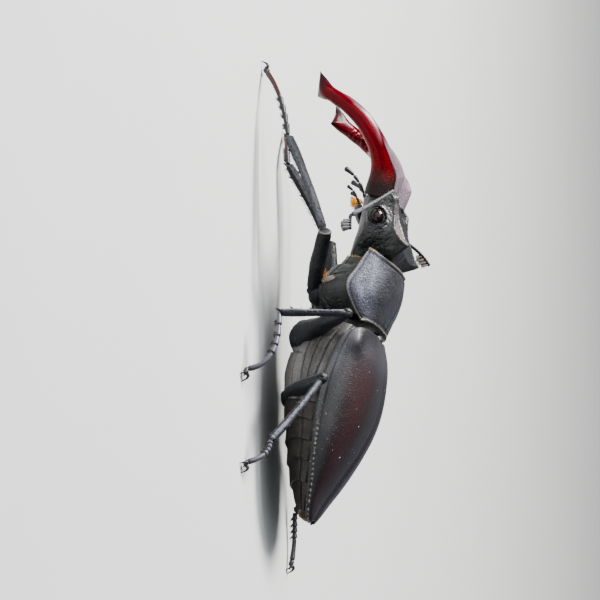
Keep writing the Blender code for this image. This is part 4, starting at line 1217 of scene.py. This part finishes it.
def build_neck_membrane():
    """Folded amber skin round the neck: the head's last rings, moved a little outwards, with folds that
    follow a sine along them."""
    y = np.linspace(2.3, 0.9, 40)
    rings = head_rings(y, np.linspace(0, 1, 61))
    folds = 0.10 + 0.10 * np.sin(y * 9.0)[:, None] - 0.8 * ease(-y, -1.3, -0.9)[:, None]
    rings = raised(rings, np.broadcast_to(folds, rings.shape[:2]))
    piece("neck_membrane", [rings_skin(in_head(rings))], MEMBRANE)


def horn(node, skins, finish):
    """Piece that takes the place of one node and is called after it."""
    piece(node + "_horn", skins, finish, [node])


def build_feeler(name, points):
    """Feeler: a long first joint that thickens as the square of the way along it, six small beads, and a comb
    of four joints with flat leaves that widen outwards."""
    root, elbow, comb, tip = (np.array(p) for p in points)
    t = np.linspace(0, 1, 48)
    scape = bent_path(root, (root + elbow) / 2 + (0, 0, 0.35), elbow, 48)
    radius = (0.17 + 0.20 * t ** 2) * tapered(t, 0.93, 1.02, 0.05)
    stem = rings_skin(in_world(tube(scape, radius, radius, 16)), worn=0.5, pale=0.12)
    horn("feeler_stem_" + name, [stem], LEG_HORN)
    path = bent_path(elbow + 0.15 * unit(comb - elbow), comb, tip, 80)
    skins = beads(path, (0, 0.13, 0.21, 0.29, 0.37, 0.45, 0.53), ((0.2, 0.25),) * 6, 14, 10)
    skins += beads(path, (0.53, 0.65, 0.77, 0.89, 1.0), ((0.2, 0.27),) * 4, 14, 10)
    ahead = unit(tip - comb)
    s = np.linspace(0, 1, 24)
    shape = rounded(s, 6, 0.04)
    for place, reach in ((0.60, 0.75), (0.72, 1.0), (0.84, 1.0), (0.95, 0.9)):
        base = path[int(place * (len(path) - 1))]
        outward = (reach * (1.12 * s - 0.08))[:, None] * np.array(COMB_REACH)
        leaf = tube(base + outward + 0.25 * (s ** 2)[:, None] * ahead, (0.18 + 0.09 * s) * shape,
                    (0.26 + 0.26 * s) * shape, 16, ahead)
        # The far (right) comb is painted paler than the near one: a painted highlight.
        skins.append(rings_skin(leaf, worn=0.5, pale=0.16 if name == "left" else 0.65))
    for skin in skins:
        skin.points = in_world(skin.points)
    horn("feeler_comb_" + name, skins, LEG_HORN)


# ---------------------------------------------------------------- legs

def limb_rings(start, end, profile, scale, bow, steps):
    """Rings of a slightly bowed limb piece between two joints, taller than it is wide and rounded at both
    ends, with the way t along it."""
    t = np.linspace(0, 1, steps)
    path = bent_path(start, (start + end) / 2 + np.array([0, 0, bow]), end, steps)
    high, wide = curve(profile, t).T * scale
    round_off = rounded(t, 30, 0.05)
    return tube(path, high * round_off, wide * round_off, LIMB_SIDES), t[:, None]


def spike(root, lean, length, radius, curl):
    """Small cone that curls as the square of the way along it and thins as a power of it."""
    t = np.linspace(0, 1, 14)
    path = root + unit(np.array(lean)) * length * t[:, None] + np.array(curl) * (t ** 2)[:, None]
    size = radius * (1 - t ** 1.3) + 0.015
    return rings_skin(tube(path, size, size, 12))


def bristles(path, radius, count, fractions, angles, length, tile, lean=0.9):
    """Hairs on a limb between two fractions of its path and two angles round it, leaning towards its end."""
    s = fractions[0] + (fractions[1] - fractions[0]) * rng.random(count)
    angle = np.radians(angles[0] + (angles[1] - angles[0]) * rng.random(count))
    centre = on_path(path, s)
    ahead = on_path(unit(np.gradient(path, axis=0)), s)
    aside = unit(np.cross((0.0, 0.0, 1.0), ahead))
    above = np.cross(ahead, aside)
    out = aside * np.cos(angle)[:, None] + above * np.sin(angle)[:, None]
    place = np.stack([0.02 + 0.96 * s, tile + 0.15 * (angle % (2 * pi)) / (2 * pi)], axis=-1)
    size = length * (0.6 + 0.6 * rng.random(count))
    roots = in_world(centre + out * radius * 0.85)
    return hair_skin(roots, out + ahead * lean, size, 0.022, 0.12 * ahead, place, 2)


def foot_skins(path, chestnut, worn):
    """Five joints of a foot: four short ones that widen to a round end as a power of the way along them, and
    a long slim last one."""
    skins = []
    for start, end in zip(FOOT_CUTS, FOOT_CUTS[1:]):
        last = end == FOOT_CUTS[-1]
        s = np.linspace(0, 1, 40 if last else 20)
        points = on_path(path, start + (end - start) * s * (0.99 if last else 1.03))
        swell = 0.31 + 0.09 * s ** 2 if last else 0.30 + 0.17 * s ** 1.3
        radius = swell * tapered(s, 0.86, 1.02, 0.04) * np.sqrt(ease(s, -0.12, 0.1))
        rings = tube(points, 0.92 * radius, 1.04 * radius, 18)
        shade = ease(s, -0.1, 0.25) * (1 - 0.8 * ease(s, 0.8, 1.0)) if last else 0.15 * s
        skins.append(rings_skin(in_world(rings), chestnut=chestnut * shade[:, None],
                                worn=worn * (1 - 0.8 * (s ** 6)[:, None])))
    return skins


def claw_skins(path):
    """Two hooked claws, a knuckle behind them and a short stalk between them.

    The claws part from one root: they go forward as the square of the way along them and aside as a sine, and
    they rise as a sine and come down to the floor as a cube.
    """
    toe = path[-1]
    ahead = unit((path[-1] - path[-len(path) // 5]) * (1, 1, 0))
    aside = np.array([-ahead[1], ahead[0], 0])
    root = (toe + ahead * (0.4 + GAP)) * (1, 1, 0)
    skins = []
    for side, _ in SIDES:
        s = np.linspace(0.0, 1.03, 34)[:, None]
        height = 0.62 + 0.35 * np.sin(np.minimum(s, 1) * pi) - 0.42 * s ** 3 - 0.13 * ease(s, 0.8, 1.03)
        points = (root + CLAW_REACH * s ** 2 * ahead + side * CLAW_SPREAD * np.sin(1.3 * s) * aside
                  + height * (0, 0, 1))
        radius = 0.20 * (1 - np.clip(s[:, 0] / 1.03, 0, 1) ** 1.6) + 0.045
        claw = in_world(tube(points, radius, radius, 14))
        skins.append(rings_skin(claw, chestnut=0.45 * ease(s, 0.3, 0.9)))
    s = np.linspace(0, 1, 22)
    knuckle = toe + (root + (0, 0, 0.55) - toe) * (1.25 * s - 0.25)[:, None]
    radius = (0.32 + 0.02 * s) * rounded(s, 4, 0.04)
    skins.append(rings_skin(in_world(tube(knuckle, radius, radius, 18)), chestnut=0.1))
    stalk = root + (0, 0, 0.5) + ahead * np.linspace(0, 0.5, 12)[:, None]
    skins.append(rings_skin(in_world(tube(stalk, 0.09, 0.09, 8)), chestnut=0.3))
    return skins


def build_hip(name, pair, side):
    """Hip: a pitted ellipsoid half sunk in the breast."""
    x, y, z = HIP_CENTRES[pair]
    ball = ellipsoid((side * x, y, z), np.array(HIP_RADII[pair]), 44, 64)
    ball = raised(ball, 0.10 * ripple(ball, 1.4) - 0.07 * dimples(ball, 0.45, 0.35))
    horn("hip_" + name, [rings_skin(in_world(ball))], LEG_HORN)


def build_thigh(name, pair, side, hip, knee):
    """Thigh, with a groove along its underside, a collar at the hip and a rim at the knee. The front thigh
    also has a lobe at its root."""
    along = unit(knee - hip)
    rings, t = limb_rings(hip - 0.9 * along, knee + 0.5 * along, FEMURS[pair], 1.0, 0.0, 100)
    turn = np.arange(LIMB_SIDES)[None] * 2 * pi / LIMB_SIDES
    relief = (0.05 * ripple(rings, 1.1) - 0.05 * dimples(rings, 0.42, 0.32)
              - 0.16 * bump(np.sin(turn), -1.0, 0.10) * ease(t, 0.5, 0.8)
              + 0.09 * bump(t, 0.975, 0.014) - 0.10 * bump(t, 0.945, 0.014) - 0.14 * bump(t, 0.085, 0.02)
              + 0.10 * bump(t, 0.045, 0.03))
    knee_rim = bump(t, 0.977, 0.006) * (0.45 if pair == "front" else 0.0)
    skins = [rings_skin(in_world(raised(rings, relief)), pale=knee_rim)]
    if pair == "front":
        lobe = ellipsoid((side * 7.2, -0.9, 9.9), (0.75, 0.60, 1.5), 24, 32)
        lobe = raised(lobe, 0.05 * ripple(lobe, 0.6))
        # The pale on the lobe is a painted glint, over its chestnut.
        skins.append(rings_skin(in_world(lobe), chestnut=0.5, pale=0.35))
    horn("thigh_" + name, skins, LEG_HORN)


def build_shank(name, pair, side, knee, ankle):
    """Shank: ribs that follow cosines of three and six times the turn, with a blue-grey painted sheen on one
    side, a row of spines along its outer edge and two spurs at its end. Gives its middle line."""
    stout = STOUT[pair]
    rings, t = limb_rings(knee, ankle, TIBIA, stout, 0.5, 150)
    turn = np.arange(LIMB_SIDES)[None] * 2 * pi / LIMB_SIDES
    relief = (stout * (0.05 * np.cos(3 * turn + 0.4) + 0.02 * np.cos(6 * turn)) * ease(t, 0.05, 0.2)
              + 0.03 * ripple(rings, 0.9) - 0.075 * dimples(rings, 0.55, 0.26)
              + 0.10 * bump(t, 0.975, 0.012) - 0.10 * bump(t, 0.04, 0.015) + 0.08 * bump(t, 0.015, 0.012))
    rings = raised(rings, relief)
    face, sheen_strength = SHANK_SHEEN[pair]
    # Painted sheen on the face of the shank that turns towards that direction.
    facing = unit(rings - rings.mean(axis=1, keepdims=True)) @ unit(np.array(face) * (side, 1, 1))
    worn = sheen_strength * (0.08 + 0.92 * ease(facing, 0.76, 0.98)) * ease(t, 0.02, 0.12)
    skins = [rings_skin(in_world(rings), worn=worn, matt=1.0 if pair == "front" else 0.0)]
    middle = rings.mean(axis=1)
    ahead = unit(ankle - knee)
    outer = unit(np.cross(ahead, np.cross(SPINE_SIDES[pair], ahead)))
    for place in SHANK_SPINES[pair]:
        base = middle[int(place * (len(middle) - 1))]
        size = stout * (0.7 + 0.5 * place)
        skins.append(spike(in_world(base + outer * 0.25 * size), outer + ahead * 0.8, 0.62 * size,
                           0.17 * size, 0.10 * ahead))
    for lean in (-1, 1):
        across = np.cross(ahead, outer) * lean
        start = middle[-4] + outer * 0.15 + across * 0.25 * stout
        skins.append(spike(in_world(start), ahead + across * 0.25 + outer * 0.35, 0.85 * stout, 0.14,
                           0.1 * outer))
    horn("shank_" + name, skins, LEG_HORN)
    return middle


def build_leg(index, name, points):
    """Hip, thigh, shank, foot and claws of one leg, and the bristles of its shank and foot."""
    hip, knee, ankle, bend, toe = (np.array(p, float) for p in points)
    pair, flank = name.split("_")
    side = 1 if flank == "left" else -1
    build_hip(name, pair, side)
    build_thigh(name, pair, side, hip, knee)
    middle = build_shank(name, pair, side, knee, ankle)
    path = bent_path(ankle + unit(ankle - knee) * 0.15, bend, toe, 120)
    # The near (left) middle and hind feet get a grey painted sheen; the far feet stay dark as painted shade.
    chestnut, worn = (1.0, 0.0) if pair == "front" else (0.08, 0.8 if side > 0 else 0.0)
    horn("foot_" + name, foot_skins(path, chestnut, worn), FOOT_HORN)
    horn("claws_" + name, claw_skins(path), FOOT_HORN)
    tile = index / len(LEGS)
    hair = [bristles(middle, 0.62 * STOUT[pair], 130, (0.25, 0.97), (200, 340), 0.5, tile)]
    for start, end in zip(FOOT_CUTS[:4], FOOT_CUTS[1:5]):
        along = (start + 0.6 * (end - start), end)
        hair.append(bristles(path, 0.42, 60, along, (200, 340), 0.42, tile, 0.7))
    hair.append(bristles(path, 0.30, 26, (0.55, 0.98), (180, 360), 0.34, tile))
    piece("bristles_" + name, hair, BROWN_HAIR)


# ---------------------------------------------------------------- golden hair

def fringe(grid, u, count, columns, lean, length, thickness):
    """Hairs along one row of a grid, from column share to column share."""
    v = columns[0] + (columns[1] - columns[0]) * (np.arange(count) + rng.random(count)) / count
    roots = on_grid(grid, np.full(count, u), v)
    jitter = (rng.random((count, 3)) - 0.5) * 0.5
    place = np.stack([0.02 + 0.96 * v, np.full(count, 0.02 + 0.96 * u)], axis=-1)
    size = length * (0.7 + 0.6 * rng.random(count))
    return hair_skin(roots, np.array(lean) + jitter, size, thickness, (0, 0, -0.08), place)


def down(grid, count, rows, columns, length):
    """Short hairs all over part of a grid, lying back along its rows."""
    u = rows[0] + (rows[1] - rows[0]) * rng.random(count)
    v = columns[0] + (columns[1] - columns[0]) * rng.random(count)
    roots = on_grid(grid, u, v)
    back = unit(on_grid(grid, np.minimum(u + 0.01, 1), v) - roots)
    out = on_grid(grid_normals(grid, grid.mean(axis=1, keepdims=True), True), u, v)
    lean = back + out * 0.2 + (rng.random((count, 3)) - 0.5) * 0.3
    place = np.stack([0.02 + 0.96 * v, 0.02 + 0.96 * u], axis=-1)
    size = length * (0.6 + 0.8 * rng.random(count))
    return hair_skin(roots - out * 0.02, lean, size, 0.016, -0.05 * out, place, 2)


def build_hair(shield, prothorax, thorax, abdomen):
    """Golden fringes on the shield's front and back rims, and short hair on the breast, belly and hips."""
    forward, backward = TRUNK_TURN @ (0, -1, -0.35), TRUNK_TURN @ (0, 1, -0.5)
    rims = [fringe(shield, 0.004, 700, (0.02, 0.98), forward, 0.36, 0.017),
            fringe(shield, 0.996, 420, (0.06, 0.94), backward, 0.32, 0.017)]
    piece("shield_fringe", rims, GOLD_HAIR)
    below = ((FLANK_ROOF + 1) / prothorax.shape[1], 0.99)
    collar = fringe(prothorax, 0.01, 260, below, TRUNK_TURN @ (0, -1, 0.1), 0.36, 0.016)
    piece("collar_fringe", [collar], GOLD_HAIR)
    below = ((BELLY_ROOF + 2) / thorax.shape[1], 1 - (BELLY_ROOF + 2) / thorax.shape[1])
    piece("breast_hair", [down(thorax, 3200, (0.05, 0.95), below, 0.32)], BREAST_HAIR)
    piece("belly_hair", [down(abdomen, 1500, (0.05, 0.97), below, 0.20)], BREAST_HAIR)
    skins = []
    for side, _ in SIDES:
        count = 260
        a, b = rng.random(count) * 2 * pi, rng.random(count)
        spread = xyz(0.4 * b * np.cos(a), 1.3 * b * np.sin(a), 0.35 * (rng.random(count) - 0.5))
        place = (0.25 + 0.5 * (side > 0), 0.5) + 0.1 * spread[:, :2]
        roots = in_world(np.array([side * 6.9, -1.0, 8.8]) + spread)
        lean = np.array([side * 0.8, -0.3, 0.2]) + spread * 0.3
        size = 0.40 + 0.3 * rng.random(count)
        skins.append(hair_skin(roots, lean, size, 0.022, (0, 0, 0.1), place))
    piece("hip_hair", skins, BRUSH_HAIR)


# ---------------------------------------------------------------- floor, light and camera

def build_floor():
    """Pale floor, under the object and out of sight at its edges."""
    mesh = bpy.data.meshes.new("floor")
    reach = 3.0
    corners = [(-reach, -reach, 0), (reach, -reach, 0), (reach, reach, 0), (-reach, reach, 0)]
    mesh.from_pydata(corners, [], [(0, 1, 2, 3)])
    f = Finish("floor_paint", Specular_IOR_Level=0.2)
    clouds = f.noise(60.0, 2.0)
    f.set(Base_Color=f.mix(clouds, (0.50, 0.51, 0.50), (0.54, 0.55, 0.54)), Roughness=0.75 + 0.1 * clouds)
    mesh.materials.append(f.material)
    floor = bpy.data.objects.new("floor", mesh)
    bpy.context.scene.collection.objects.link(floor)


def area_light(name, place, aim, size, power, colour):
    """Rectangular lamp at a place, turned to its aim, with its second side along the beetle. Places and sizes
    are in metres, power in watts."""
    data = bpy.data.lights.new(name, "AREA")
    data.shape = "RECTANGLE"
    data.size, data.size_y = size
    data.energy = power
    data.color = colour
    back = unit(np.array(place) - aim)
    along = unit(np.cross(np.cross(back, (0.0, 1.0, 0.0)), back))
    turn = Matrix(np.stack([np.cross(along, back), along, back], axis=1).tolist()).to_4x4()
    lamp = bpy.data.objects.new(name, data)
    lamp.matrix_world = Matrix.Translation(place) @ turn
    bpy.context.scene.collection.objects.link(lamp)


def build_light():
    """Narrow key from above and ahead, a slim lamp beside it that draws the long highlights, a broad soft
    fill from the camera's side, and a pale surround."""
    aim = np.array([0, 0, 0.01])
    area_light("key", (0.0, -0.40, 0.46), aim, (0.20, 0.24), 9.5, (1.0, 0.98, 0.95))
    area_light("glint", (0.22, -0.38, 0.42), aim, (0.07, 0.50), 3.2, (0.95, 0.97, 1.0))
    area_light("side_fill", (0.72, -0.20, 0.45), aim, (1.0, 1.0), 6.5, (0.93, 0.96, 1.0))
    world = bpy.data.worlds.new("surround")
    world.use_nodes = True
    sky = world.node_tree.nodes["Background"]
    sky.inputs["Color"].default_value = (0.92, 0.95, 1.0, 1)
    sky.inputs["Strength"].default_value = 0.16
    bpy.context.scene.world = world
    bpy.context.scene.view_settings.look = "AgX - Medium High Contrast"


def build_camera():
    """Camera that looks down a little at the left side, turned so that the head is at the top of the
    frame."""
    rise, ahead = np.radians(CAMERA_RISE), np.radians(CAMERA_AHEAD)
    back = np.array([np.cos(rise) * np.cos(ahead), np.cos(rise) * np.sin(ahead), np.sin(rise)])
    forward = np.array([0.0, -1.0, 0.0])
    up = unit(forward - (forward @ back) * back)
    right = np.cross(up, back)
    aim = right * CAMERA_AIM + CENTRING
    data = bpy.data.cameras.new("camera")
    data.sensor_width = CAMERA_FILM
    data.lens = CAMERA_LENS
    camera = bpy.data.objects.new("camera", data)
    turn = Matrix(np.stack([right, up, back], axis=1).tolist()).to_4x4()
    camera.matrix_world = Matrix.Translation(Vector((aim + back * CAMERA_DISTANCE) * MM)) @ turn
    bpy.context.scene.collection.objects.link(camera)
    bpy.context.scene.camera = camera


def build():
    """The pieces from the wing cases to the hair, then the floor, the lights and the camera."""
    for side, name in SIDES:
        build_wing_case(side, name)
    build_scutellum()
    thorax = build_hind_thorax()
    abdomen = build_abdomen()
    shield = build_neck_shield()
    prothorax = build_prothorax()
    build_head()
    build_eyes()
    build_jaws()
    build_lips()
    build_tongue()
    build_palps()
    build_neck_membrane()
    for name, points in FEELERS.items():
        build_feeler(name, points)
    for index, (name, points) in enumerate(LEGS.items()):
        build_leg(index, name, points)
    build_hair(shield, prothorax, thorax, abdomen)
    build_floor()
    build_light()
    build_camera()


build()
